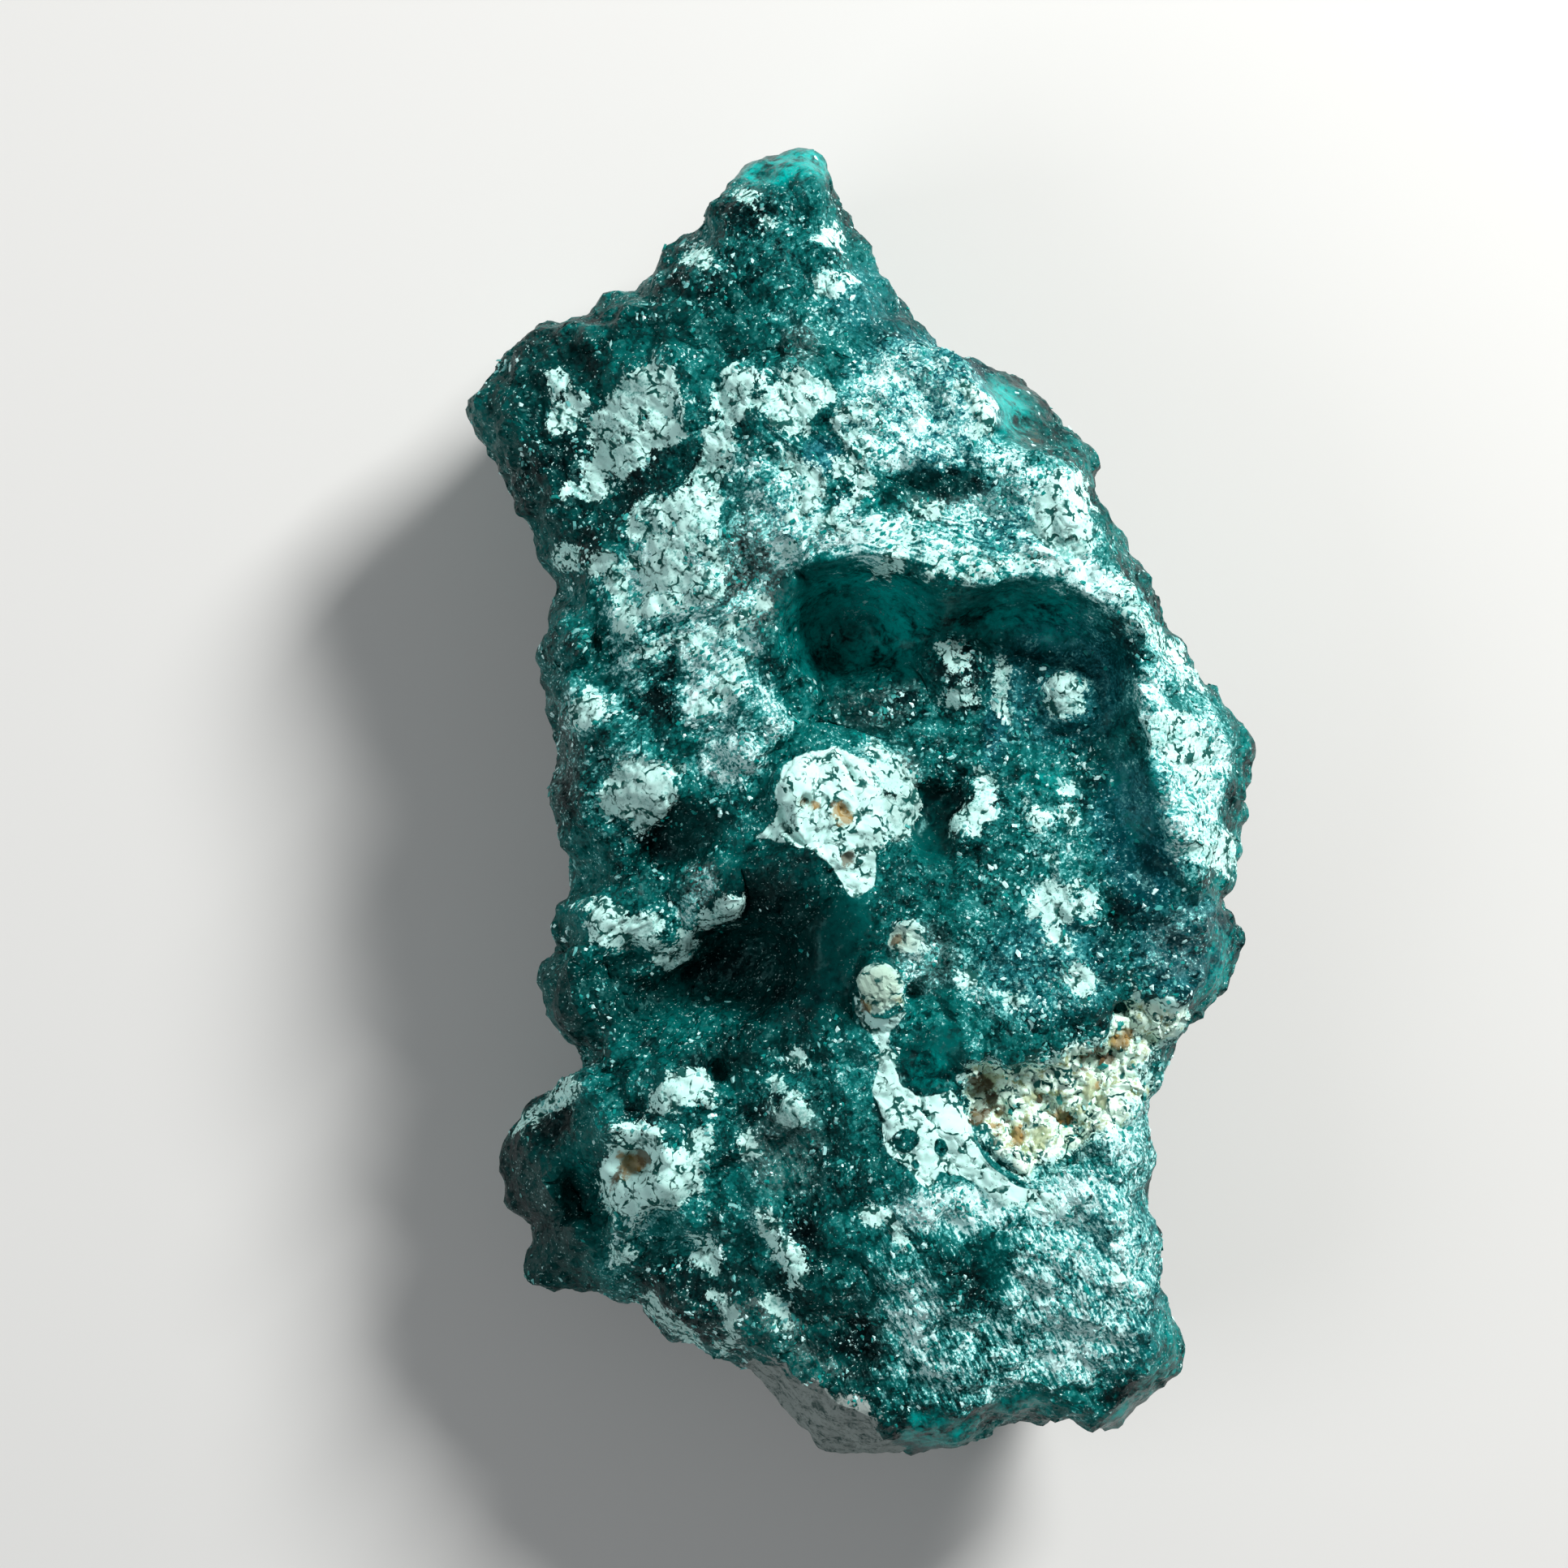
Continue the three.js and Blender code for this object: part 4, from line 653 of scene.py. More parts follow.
def between(low, high, share):
    """The value that lies the given share of the way from low to high."""
    return low + (high - low) * share


def smooth_step(values, low, high):
    """0 below low, 1 above high and a soft rise between them."""
    share = np.clip((values - low) / (high - low), 0, 1)
    return share * share * (3 - 2 * share)


def as_share(distance, softness):
    """A signed distance as a number from 0 to 1, which is one half at the border."""
    return np.clip(0.5 + distance / (2 * softness), 0, 1)


def scramble(cells, seed):
    """A number from 0 to 1 for each cell of a lattice, the same on every run."""
    mixed = seed * HASH_SEED
    for axis, factor in enumerate(HASH_AXES):
        mixed = mixed ^ cells[..., axis] * factor
    mixed = mixed & LOW_32_BITS
    for shift, factor in HASH_ROUNDS:
        mixed = (mixed ^ mixed >> shift) * factor & LOW_32_BITS
    return (mixed & LOW_24_BITS) / (LOW_24_BITS + 1)


def soft_noise(places, size, seed):
    """Smooth noise from -1 to 1 whose bumps are about size across."""
    spots = places / size
    base = np.floor(spots).astype(np.int64)
    part = smooth_step(spots - base, 0, 1)
    total = np.zeros(len(places))
    for corner in np.ndindex(2, 2, 2):
        step = np.array(corner)
        share = np.prod(np.where(step, part, 1 - part), axis=1)
        total += share * scramble(base + step, seed)
    return total * 2 - 1


def rough_noise(places, size, seed, layers=3):
    """Layers of smooth noise, each half the size and half the height of the one before."""
    total = np.zeros(len(places))
    for layer in range(layers):
        total += soft_noise(places, size / 2 ** layer, seed + layer) / 2 ** layer
    return total


def bent(places, size, seed, reach):
    """The places shifted about by a rough noise."""
    shifts = [rough_noise(places, size, seed + k) for k in range(3)]
    return places + reach * np.stack(shifts, axis=1)


def wobbled(places):
    """The places shifted a little, which makes borders ragged."""
    return bent(places, *BORDER_WOBBLE)


def turned(offsets, cells, seed):
    """Offsets in the own axes of randomly turned crystals, one crystal a cell."""
    first, second, third = (scramble(cells, seed + k) for k in range(3))
    low = np.sqrt(1 - first)
    high = np.sqrt(first)
    x = low * np.sin(2 * math.pi * second)
    y = low * np.cos(2 * math.pi * second)
    z = high * np.sin(2 * math.pi * third)
    w = high * np.cos(2 * math.pi * third)
    axis = np.stack([x, y, z], axis=-1)
    side = np.cross(axis, offsets)
    return offsets + 2 * w[:, None] * side + 2 * np.cross(axis, side)


def near_cells(places, size):
    """The lattice cells at and round each place, one set of neighbours at a time."""
    base = np.floor(places / size).astype(np.int64)
    for corner in np.ndindex(3, 3, 3):
        yield base + np.array(corner) - 1


def jitter(cells, seed):
    """A random spot in each cell."""
    return np.stack([scramble(cells, seed + k) for k in range(3)], axis=-1)


def crystal_field(places, size, seed):
    """How far inside a packing of intergrown, randomly turned crystals each place lies."""
    deepest = np.full(len(places), -size)
    for cells in near_cells(places, size):
        offsets = places - (cells + jitter(cells, seed + 10)) * size
        local = np.abs(turned(offsets, cells, seed))
        reach = size * between(*CRYSTAL_REACH, scramble(cells, seed + 20))
        deepest = np.maximum(deepest, reach - np.max(local * CRYSTAL_SHAPE, axis=1))
    return deepest


def flake_field(places, size, seed):
    """Each place's own flake, as a number from 0 to 1, and the gap to the next flake."""
    first = np.full(len(places), np.inf)
    second = np.full(len(places), np.inf)
    own = np.zeros(len(places))
    for cells in near_cells(places, size):
        reach = np.linalg.norm(places / size - cells - jitter(cells, seed), axis=1)
        is_first = reach < first
        second = np.where(is_first, first, np.minimum(second, reach))
        own = np.where(is_first, scramble(cells, seed + 5), own)
        first = np.where(is_first, reach, first)
    return own, (second - first) * size


def line_distance(places, line):
    """Distance of each place to a line through points, seen from above."""
    nearest = np.full(len(places), np.inf)
    flat = places[:, :2]
    for start, end in zip(line, line[1:]):
        start = np.array(start, float)
        run = np.array(end, float) - start
        share = np.clip((flat - start) @ run / (run @ run), 0, 1)
        gap = np.linalg.norm(flat - start - share[:, None] * run, axis=1)
        nearest = np.minimum(nearest, gap)
    return nearest


def flow_places(places):
    """Places whose axes run along and across the ridge round the bowl, shortened along it."""
    nearest = np.full(len(places), np.inf)
    along = np.zeros(len(places))
    across = np.zeros(len(places))
    passed = 0.0
    for start, end in zip(FLOW_LINE, FLOW_LINE[1:]):
        run = np.subtract(end, start, dtype=float)
        length = np.linalg.norm(run)
        run /= length
        offset = places[:, :2] - start
        share = np.clip(offset @ run, 0, length)
        gap = np.linalg.norm(offset - share[:, None] * run, axis=1)
        side = np.sign(offset[:, 1] * run[0] - offset[:, 0] * run[1])
        is_nearer = gap < nearest
        along = np.where(is_nearer, passed + share, along)
        across = np.where(is_nearer, side * gap, across)
        nearest = np.minimum(nearest, gap)
        passed += length
    return np.stack([along / FLOW_STRETCH, across, places[:, 2] / FLOW_FLATNESS], axis=1)


def inside_distance(places, outline):
    """Distance to a closed outline seen from above, positive inside it."""
    edge = line_distance(places, outline + outline[:1])
    x, y = places[:, 0], places[:, 1]
    inside = np.zeros(len(places), bool)
    for (x0, y0), (x1, y1) in zip(outline, outline[1:] + outline[:1]):
        if y0 != y1:
            inside ^= ((y0 > y) != (y1 > y)) & (x < (x1 - x0) * (y - y0) / (y1 - y0) + x0)
    return np.where(inside, edge, -edge)


def spot_distance(places, spots):
    """Distance into the nearest round spot, positive inside it."""
    best = np.full(len(places), -np.inf)
    for x, y, radius in spots:
        best = np.maximum(best, radius - np.hypot(places[:, 0] - x, places[:, 1] - y))
    return best


def zone_weight(places, zone):
    """1 in the middle of an oval zone, falling softly to 0 at its border."""
    x, y, half_width, half_height, turn, _ = zone
    angle = math.radians(turn)
    dx, dy = places[:, 0] - x, places[:, 1] - y
    along = (dx * math.cos(angle) + dy * math.sin(angle)) / half_width
    across = (dy * math.cos(angle) - dx * math.sin(angle)) / half_height
    return 1 - smooth_step(np.hypot(along, across), *ZONE_FADE)


def strongest(places, zones):
    """The strongest of several overlapping zones."""
    result = np.zeros(len(places))
    for zone in zones:
        result = np.maximum(result, zone_weight(places, zone) * zone[-1])
    return result


def crust_share(places):
    """From 0 to 1 towards the middle of the face's crusts, and one half at their borders."""
    crust = spot_distance(places, CRUST_SPOTS)
    for outline in CRUST_PATCHES + [VUG_OUTLINE]:
        crust = np.maximum(crust, inside_distance(places, outline))
    for width, line in CRUST_VEINS:
        crust = np.maximum(crust, width - line_distance(places, line))
    crust = np.minimum(crust, -spot_distance(places, CRUST_HOLES))
    return as_share(crust, CRUST_SOFT)


def solid_share(places):
    """Like crust_share, for the solid crusts with a crisp border."""
    solid = spot_distance(places, CREAM_SPOTS)
    for outline in SOLID_CRUSTS:
        solid = np.maximum(solid, inside_distance(places, outline))
    solid = np.minimum(solid, -spot_distance(places, SOLID_HOLES))
    return as_share(solid, SOLID_SOFT)


def frost_density(places):
    """How dense the frost is on the face, with zones, lines and shapes painted over each other."""
    result = np.full(len(places), FROST_START)
    for zone in FROST_ZONES:
        result = between(result, zone[-1], zone_weight(places, zone))
    for width, density, line in FROST_LINES:
        weight = 1 - smooth_step(line_distance(places, line) / width, *LINE_FADE)
        result = between(result, density, weight)
    for density, _, outline in GLASSY_SHAPES:
        weight = as_share(inside_distance(places, outline), GLASSY_FROST_SOFT)
        result = between(result, density, weight)
    return result + NEAR_CRUST * smooth_step(crust_share(places), *FROST_GATHERS)


def glassy_share(places):
    """1 where the face is smooth and glassy."""
    result = strongest(places, GLASS_ZONES)
    for _, smoothness, outline in GLASSY_SHAPES:
        share = as_share(inside_distance(places, outline), GLASSY_SOFT)
        result = np.maximum(result, smoothness * share)
    return result


def edges_of(triangles):
    """The mesh's edges, the edge of each triangle's side and how many triangles meet there."""
    sides = np.sort(triangles[:, [0, 1, 1, 2, 2, 0]].reshape(-1, 2), axis=1)
    return np.unique(sides, axis=0, return_inverse=True, return_counts=True)


def triangle_normals(points, triangles):
    """Each triangle's normal, as long as twice its area."""
    a, b, c = (points[triangles[:, k]] for k in range(3))
    return np.cross(b - a, c - a)


def unit(vectors):
    """The vectors at a length of 1."""
    return vectors / np.maximum(np.linalg.norm(vectors, axis=1, keepdims=True), 1e-12)


def point_normals(points, triangles):
    """Each vertex's normal, weighted by the area of its triangles."""
    normals = np.zeros_like(points)
    faces = triangle_normals(points, triangles)
    for k in range(3):
        np.add.at(normals, triangles[:, k], faces)
    return unit(normals)


def creases(points, triangles):
    """Edges sharper than the crease angle, which stay sharp when the mesh is refined."""
    edges, index, counts = edges_of(triangles)
    normals = unit(triangle_normals(points, triangles))
    total = np.zeros((len(edges), 3))
    np.add.at(total, index.ravel(), np.repeat(normals, 3, axis=0))
    cosine = (np.sum(total * total, axis=1) - 2) / 2
    return edges[(cosine < math.cos(CREASE_ANGLE)) | (counts != 2)]


def refine(points, triangles, sharp):
    """One round of Loop subdivision that keeps the sharp edges."""
    count = len(points)
    edges, index, _ = edges_of(triangles)
    index = index.reshape(-1, 3)
    across = np.zeros((len(edges), 3))
    np.add.at(across, index.ravel(), points[triangles[:, [2, 0, 1]].ravel()])
    ends = points[edges[:, 0]] + points[edges[:, 1]]
    keys = edges[:, 0] * count + edges[:, 1]
    is_sharp = np.isin(keys, sharp[:, 0] * count + sharp[:, 1])
    middles = np.where(is_sharp[:, None], ends / 2, ends * 3 / 8 + across / 8)

    valence = np.bincount(edges.ravel(), minlength=count)
    around = np.zeros_like(points)
    crease_around = np.zeros_like(points)
    for k in range(2):
        np.add.at(around, edges[:, k], points[edges[:, 1 - k]])
        np.add.at(crease_around, edges[is_sharp, k], points[edges[is_sharp, 1 - k]])
    crease_count = np.bincount(edges[is_sharp].ravel(), minlength=count)
    pull = np.where(valence == 3, 3 / 16, 3 / (8 * np.maximum(valence, 1)))[:, None]
    moved = points * (1 - valence[:, None] * pull) + pull * around
    moved = np.where((crease_count == 2)[:, None], points * 3 / 4 + crease_around / 8, moved)
    moved = np.where((crease_count > 2)[:, None], points, moved)

    a, b, c = triangles.T
    ab, bc, ca = (index + count).T
    corners = [(a, ab, ca), (ab, b, bc), (ca, bc, c), (ab, bc, ca)]
    finer = np.concatenate([np.stack(corner, axis=1) for corner in corners])
    split = np.flatnonzero(is_sharp)
    halves = [np.stack([edges[split, k], split + count], axis=1) for k in range(2)]
    return np.concatenate([moved, middles]), finer, np.concatenate(halves)


def split_triangles(points, triangles, chosen):
    """Each chosen triangle in four, and its neighbours in as many as their shared edges ask for."""
    count = len(points)
    edges, index, _ = edges_of(triangles)
    index = index.reshape(-1, 3)
    is_split = np.zeros(len(edges), bool)
    is_split[index[chosen].ravel()] = True
    number = np.cumsum(is_split) - 1 + count
    middles = points[edges[is_split]].mean(axis=1)
    marks = is_split[index]
    total = marks.sum(axis=1)
    parts = [triangles[total == 0]]
    for turn in range(3):
        a, b, c = np.roll(triangles, -turn, axis=1).T
        ab, bc, ca = number[np.roll(index, -turn, axis=1)].T
        is_ab, is_bc, _ = np.roll(marks, -turn, axis=1).T
        one = (total == 1) & is_ab
        two = (total == 2) & is_ab & is_bc
        parts += [np.stack(corner, axis=1)[one] for corner in ((a, ab, c), (ab, b, c))]
        parts += [np.stack(corner, axis=1)[two] for corner in ((ab, b, bc), (a, ab, c), (ab, bc, c))]
    quarters = ((a, ab, ca), (ab, b, bc), (ca, bc, c), (ab, bc, ca))
    parts += [np.stack(corner, axis=1)[total == 3] for corner in quarters]
    return np.concatenate([points, middles]), np.concatenate(parts)


def cad_surface():
    """The node's points in millimetres, shared by its triangles, and the triangles."""
    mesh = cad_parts[NODE].data
    mesh.calc_loop_triangles()
    points = np.zeros(len(mesh.vertices) * 3)
    mesh.vertices.foreach_get("co", points)
    corners = np.zeros(len(mesh.loop_triangles) * 3, int)
    mesh.loop_triangles.foreach_get("vertices", corners)
    points = points.reshape(-1, 3) / MM
    keys = np.round(points * JOIN_STEPS).astype(np.int64)
    _, first, shared = np.unique(keys, axis=0, return_index=True, return_inverse=True)
    triangles = shared.ravel()[corners].reshape(-1, 3)
    whole = (triangles[:, 0] != triangles[:, 1]) & (triangles[:, 1] != triangles[:, 2])
    whole &= triangles[:, 2] != triangles[:, 0]
    return points[first], triangles[whole]


def refined_surface():
    """The node's surface refined, with finer triangles where the crusts break up in flakes."""
    points, triangles = cad_surface()
    sharp = creases(points, triangles)
    for _ in range(ROUNDS):
        points, triangles, sharp = refine(points, triangles, sharp)
    places = wobbled(points)
    crust = np.maximum(crust_share(places), solid_share(places))
    crust *= point_normals(points, triangles)[:, 2] > 0
    return split_triangles(points, triangles, crust[triangles].mean(axis=1) > FINER_CRUST)


def rim_mask(points, facing):
    """Where a glow is painted on the thin rim, as if light came through it, dimmer on the side walls."""
    wobble = RIM_WOBBLES * rough_noise(points, *RIM_WOBBLE)
    result = np.zeros(len(points))
    for width, strength, line in RIM_LINES:
        share = smooth_step(width + wobble - line_distance(points, line), *RIM_FADE)
        result = np.maximum(result, share * strength)
    return result * smooth_step(points[:, 2], *RIM_RISE) * between(SIDE_GLOW, 1, facing)


def surface_masks(points, normals):
    """What the surface shows at each point, as numbers from 0 to 1."""
    upward = smooth_step(normals[:, 2], *FACE_TURN) * smooth_step(points[:, 2], *FACE_RISE)
    places = wobbled(points)
    masks = {name: strongest(points, zones) * upward for name, zones in ZONE_MASKS.items()}
    for name, (spots, softness) in SPOT_MASKS.items():
        masks[name] = as_share(spot_distance(places, spots), softness) * upward
    masks["solid"] = solid_share((points + places) / 2) * upward
    masks["vug"] = as_share(inside_distance(places, VUG_OUTLINE), VUG_SOFT) * upward
    matrix = as_share(inside_distance(places, MATRIX_FLAKE), MATRIX_SOFT)
    masks["matrix"] = matrix * smooth_step(points[:, 2], *MATRIX_RISE)
    for name, (size, seed, height) in PATTERNS.items():
        masks[name] = 0.5 + height * rough_noise(points, size, seed)

    back_crust = rough_noise(points, *BACK_CRUST_NOISE) - BACK_CRUST_LEVEL
    masks["crust"] = between(as_share(back_crust, BACK_CRUST_SOFT), crust_share(places), upward)
    back_frost = BACK_FROST + BACK_FROST_RANGE * rough_noise(points, *BACK_FROST_NOISE)
    masks["frost"] = between(back_frost, frost_density(places), upward)

    facing = smooth_step(normals[:, 2], *RIM_TURN)
    # Where a glow is painted on the thin rim
    masks["rim"] = rim_mask(points, facing)
    masks["glass"] = np.maximum(glassy_share(places) * upward, masks["rim"] * facing)
    masks["frost"] -= FROST_OFF_RIM * masks["rim"]
    return masks


def carved(points, normals):
    """The face's small knobs, pits and cracks, as a height along the normal."""
    height = np.zeros(len(points))
    for spots, fade, sign in ((KNOBS, KNOB_FADE, 1), (PITS, PIT_FADE, -1)):
        for x, y, radius, rise in spots:
            share = np.hypot(points[:, 0] - x, points[:, 1] - y) / radius
            height += sign * rise * (1 - smooth_step(share, *fade))
    for width, depth, line in CRACKS:
        height -= depth * (1 - smooth_step(line_distance(points, line) / width, *CRACK_FADE))
    return height * smooth_step(normals[:, 2], *CARVED_TURN)


def relief(points, normals, masks):
    """The height of all fine relief along the normal; the resting surface stays flat."""
    crust = np.maximum(smooth_step(masks["crust"], *CRUST_EDGE), smooth_step(masks["solid"], *SOLID_EDGE))
    flake, gap = flake_field(bent(points, *FLAKE_BENDS), *FLAKES)
    crack = 1 - smooth_step(gap, *CRACK_EDGE)
    crack *= smooth_step(soft_noise(points, *OPEN_CRACKS), *CRACK_OPEN)
    calm = np.maximum(masks["glass"], crust * CALM_CRUST)
    calm = np.maximum(calm, CALM_MATRIX * smooth_step(masks["matrix"], *MATRIX_EDGE))
    height = carved(points, normals)
    for layer, (size, druse, glass) in enumerate(CRYSTAL_LAYERS):
        height += crystal_field(points, size, SEED + 100 * layer) * between(druse, glass, calm)
    height += crust * (CRUST_RISE + CRUST_GRAIN * rough_noise(points, *CRUST_LUMPS)
                       + FLAKE_STEP * (2 * flake - 1) - CRACK_DEPTH * crack)
    lumps = sum(np.abs(soft_noise(points, *noise)) for noise in VUG_LUMPS)
    height += smooth_step(masks["vug"], *VUG_EDGE) * (VUG_RISE * lumps - VUG_SINK)
    chips = crystal_field(points, *CHIPS) - CHIP_SINK
    height += CHIP_RISE * smooth_step(masks["cream"], *CREAM_EDGE) * chips
    return height * smooth_step(points[:, 2], *STANDING)


def dressed_surface():
    """The refined and roughened surface, with its masks."""
    points, triangles = refined_surface()
    normals = point_normals(points, triangles)
    masks = surface_masks(points, normals)
    points = points + normals * relief(points, normals, masks)[:, None]
    points[:, 2] = np.maximum(points[:, 2], 0)
    return points, triangles, masks


def mesh_object(name, points, triangles):
    """A mesh object from points in millimetres."""
    mesh = bpy.data.meshes.new(name)
    mesh.vertices.add(len(points))
    mesh.vertices.foreach_set("co", (points * MM).ravel())
    mesh.loops.add(len(triangles) * 3)
    mesh.loops.foreach_set("vertex_index", triangles.ravel())
    mesh.polygons.add(len(triangles))
    mesh.polygons.foreach_set("loop_start", np.arange(len(triangles)) * 3)
    mesh.update(calc_edges=True)
    mesh.validate()
    piece = bpy.data.objects.new(name, mesh)
    bpy.context.scene.collection.objects.link(piece)
    return piece


def give_masks(piece, masks):
    """Stores the masks on the mesh, where the material reads them."""
    for name, values in masks.items():
        layer = piece.data.attributes.new(name, "FLOAT", "POINT")
        layer.data.foreach_set("value", values.astype(np.float32))


class Nodes:
    """A short way to write a material's nodes."""

    def __init__(self, material):
        material.use_nodes = True
        self.tree = material.node_tree
        self.shader = self.tree.nodes["Principled BSDF"]
        self.place = self.add("ShaderNodeTexCoord").outputs["Object"]
        self.patterns = {}

    def add(self, kind, inputs=(), **settings):
        node = self.tree.nodes.new(kind)
        for key, value in settings.items():
            setattr(node, key, value)
        for key, value in dict(inputs).items():
            self.feed(node.inputs[key], value)
        return node

    def feed(self, socket, value):
        if isinstance(value, bpy.types.NodeSocket):
            self.tree.links.new(value, socket)
        else:
            socket.default_value = value

    def gloss(self, values):
        for name, value in values.items():
            self.shader.inputs[name].default_value = value

    def mask(self, name, output="Fac"):
        return self.add("ShaderNodeAttribute", attribute_name=name).outputs[output]

    def math(self, operation, first, second=0.0):
        return self.add("ShaderNodeMath", {0: first, 1: second}, operation=operation).outputs[0]

    def vector(self, operation, inputs):
        return self.add("ShaderNodeVectorMath", inputs, operation=operation).outputs[0]

    def plus(self, *terms):
        total = terms[0]
        for term in terms[1:]:
            total = self.math("ADD", total, term)
        return total

    def times(self, first, second):
        return self.math("MULTIPLY", first, second)

    def left(self, value):
        """What is left of 1."""
        return self.math("SUBTRACT", 1.0, value)

    def total(self, shares):
        """The sum of patterns, and of masks where no pattern has the name, each times its share."""
        terms = []
        for name, share in shares.items():
            source = self.patterns[name] if name in self.patterns else self.mask(name)
            terms.append(self.times(source, share))
        return self.plus(*terms)

    def rule(self, name):
        shares, *step = RULES[name]
        return self.rise(self.total(shares), *step)

    def rise(self, value, low, high, top=1.0):
        sockets = {"Value": value, "From Min": low, "From Max": high, "To Max": top}
        return self.add("ShaderNodeMapRange", sockets, interpolation_type="SMOOTHSTEP").outputs[0]

    def mix(self, share, first, second):
        node = self.add("ShaderNodeMix", data_type="RGBA")
        self.feed(node.inputs[0], share)
        for socket, colour in ((node.inputs[6], first), (node.inputs[7], second)):
            self.feed(socket, colour if isinstance(colour, bpy.types.NodeSocket) else (*colour, 1))
        return node.outputs[2]

    def over(self, rule, colour, tone):
        """A colour with a tone over it where a rule says so."""
        return self.mix(self.rule(rule), colour, tone)

    def tinted(self, colour, name, share, tone):
        """A colour turned towards a tone where a mask is high."""
        return self.mix(self.times(self.mask(name), share), colour, tone)

    def blend(self, share, first, second):
        return self.add("ShaderNodeMix", {0: share, 2: first, 3: second}, data_type="FLOAT").outputs[0]

    def noise(self, size, detail=3.0, roughness=0.6, distortion=0.0, place=None, output="Fac"):
        sockets = {"Vector": place or self.place, "Scale": 1 / (size * MM), "Detail": detail,
                   "Roughness": roughness, "Distortion": distortion}
        return self.add("ShaderNodeTexNoise", sockets).outputs[output]

    def cells(self, size, output, feature="F1", place=None):
        sockets = {"Vector": place or self.place, "Scale": 1 / (size * MM)}
        return self.add("ShaderNodeTexVoronoi", sockets, feature=feature).outputs[output]

    def centred(self, colour, reach):
        """A random colour as a vector about 0."""
        shift = self.vector("ADD", {0: colour, 1: (-0.5, -0.5, -0.5)})
        return self.vector("SCALE", {0: shift, "Scale": reach})

    def stretched(self, turn, stretch):
        """The place, drawn out along a direction."""
        across = self.add("ShaderNodeMapping", {"Vector": self.place, "Rotation": (0, 0, -turn)})
        sockets = {"Vector": across.outputs[0], "Scale": (1 / stretch, 1, 1)}
        return self.add("ShaderNodeMapping", sockets).outputs[0]


def stone_colour(nodes):
    """The stone itself: nearly black, with painted shade over shadowed hollows and a painted glow where
    light would come through.
    """
    stone = nodes.over("stone", DEEP, STONE)
    # A blue tint, in part a painted sheen where the slopes face the light
    stone = nodes.tinted(stone, "blue", BLUE_SHARE, BLUE_DEEP)
    # Painted shade: the stone turned nearly black over hollows and slopes that lie in shadow
    stone = nodes.tinted(stone, "deep_shade", DEEP_SHADE_SHARE, DEEP)
    # Painted glow: bright teal where light would come through the stone and the thin rim
    glow = nodes.plus(nodes.mask("glow"), nodes.mask("rim"))
    return nodes.mix(nodes.rise(nodes.times(glow, nodes.rule("glow")), 0.0, 1.0), stone, GLOW)


def flecks(nodes):
    """A squiggly pattern from 0 to 1, drawn out in streaks where the stone is streaky."""
    squiggle = nodes.patterns["squiggle"]
    bend = nodes.math("ABSOLUTE", nodes.plus(squiggle, -0.5))
    curls = nodes.plus(nodes.times(bend, CURL_SLOPE), CURL_TOP)
    fleck = nodes.blend(CURL_SHARE, squiggle, curls)
    for name, (turn, stretch, share, noise) in STREAKS.items():
        streaks = nodes.noise(*noise, place=nodes.stretched(turn, stretch))
        fleck = nodes.blend(nodes.times(nodes.mask(name), share), fleck, streaks)
    winding = nodes.noise(*WINDING_NOISE, place=nodes.mask("flow", "Vector"))
    fleck = nodes.blend(nodes.mask("winding"), fleck, winding)
    return nodes.plus(fleck, nodes.times(nodes.patterns["grain"], GRAIN_SHARE), -GRAIN_SHARE / 2)


def frosted(nodes, stone):
    """The stone under a grey bloom, blue-grey where a sheen is painted, with pale flecks and bright
    specks painted as glints of light on small facets.
    """
    nodes.patterns["frosting"] = nodes.total(FROSTING)
    bloom = nodes.mix(nodes.mask("blue"), DUST, DUST_BLUE_SHEEN)
    bloom = nodes.mix(nodes.mask("grey"), bloom, DUST_GREY)
    colour = nodes.over("dust", stone, bloom)
    # Painted glints: pale flecks and bright specks that stand for light caught on small facets
    colour = nodes.over("fleck", colour, GLINT_FLECK)
    colour = nodes.over("sparkle", colour, GLINT_SPARKLE)
    # More painted glints, as small bright specks off the glass
    glint_salt = nodes.times(nodes.rule("glint_salt"), nodes.left(nodes.mask("glass")))
    return nodes.mix(glint_salt, colour, GLINT_SPARKLE)


def crust_marks(nodes):
    """Short winding cracks of uneven width in the crusts, and small pits."""
    shift = nodes.centred(nodes.noise(*CRACK_BENDS, output="Color"), 2 * CRACK_REACH * MM)
    place = nodes.vector("ADD", {0: nodes.place, 1: shift})
    border = nodes.cells(CRACK_SPACING, "Distance", "DISTANCE_TO_EDGE", place)
    opening = nodes.rule("open")
    beyond = nodes.math("SUBTRACT", border, nodes.times(opening, CRACK_WIDTH))
    crack = nodes.left(nodes.rise(beyond, 0.0, CRACK_SOFT))
    crack = nodes.times(crack, nodes.plus(opening, CRACK_LEAST))
    return nodes.math("MAXIMUM", crack, nodes.times(nodes.left(nodes.rule("pit")), PIT_SHARE))


def crusted(nodes, colour):
    """Pale crusts with ragged borders over the stone, and where they lie."""
    nodes.patterns["cover"] = nodes.rule("solid")
    crust = nodes.math("MAXIMUM", nodes.rule("crust"), nodes.patterns["cover"])
    pale = nodes.over("pale", CRUST_GREY, CRUST_PALE)
    pale = nodes.over("vug", pale, nodes.over("sugar", SUGAR_OLIVE, SUGAR))
    pale = nodes.tinted(pale, "cream", CREAM_SHARE, CREAM)
    pale = nodes.tinted(pale, "grey", DULL_SHARE, CRUST_DULL)
    pale = nodes.mix(crust_marks(nodes), pale, CRUST_DARK)
    return nodes.mix(crust, colour, pale), crust


def stained(nodes, colour):
    """Brown, ochre and olive stains."""
    for name, stain in STAINS.items():
        reach = nodes.total({name: 1.0, **STAIN_SPREAD})
        colour = nodes.mix(nodes.rise(reach, *STAIN_STEP), colour, stain)
    return colour


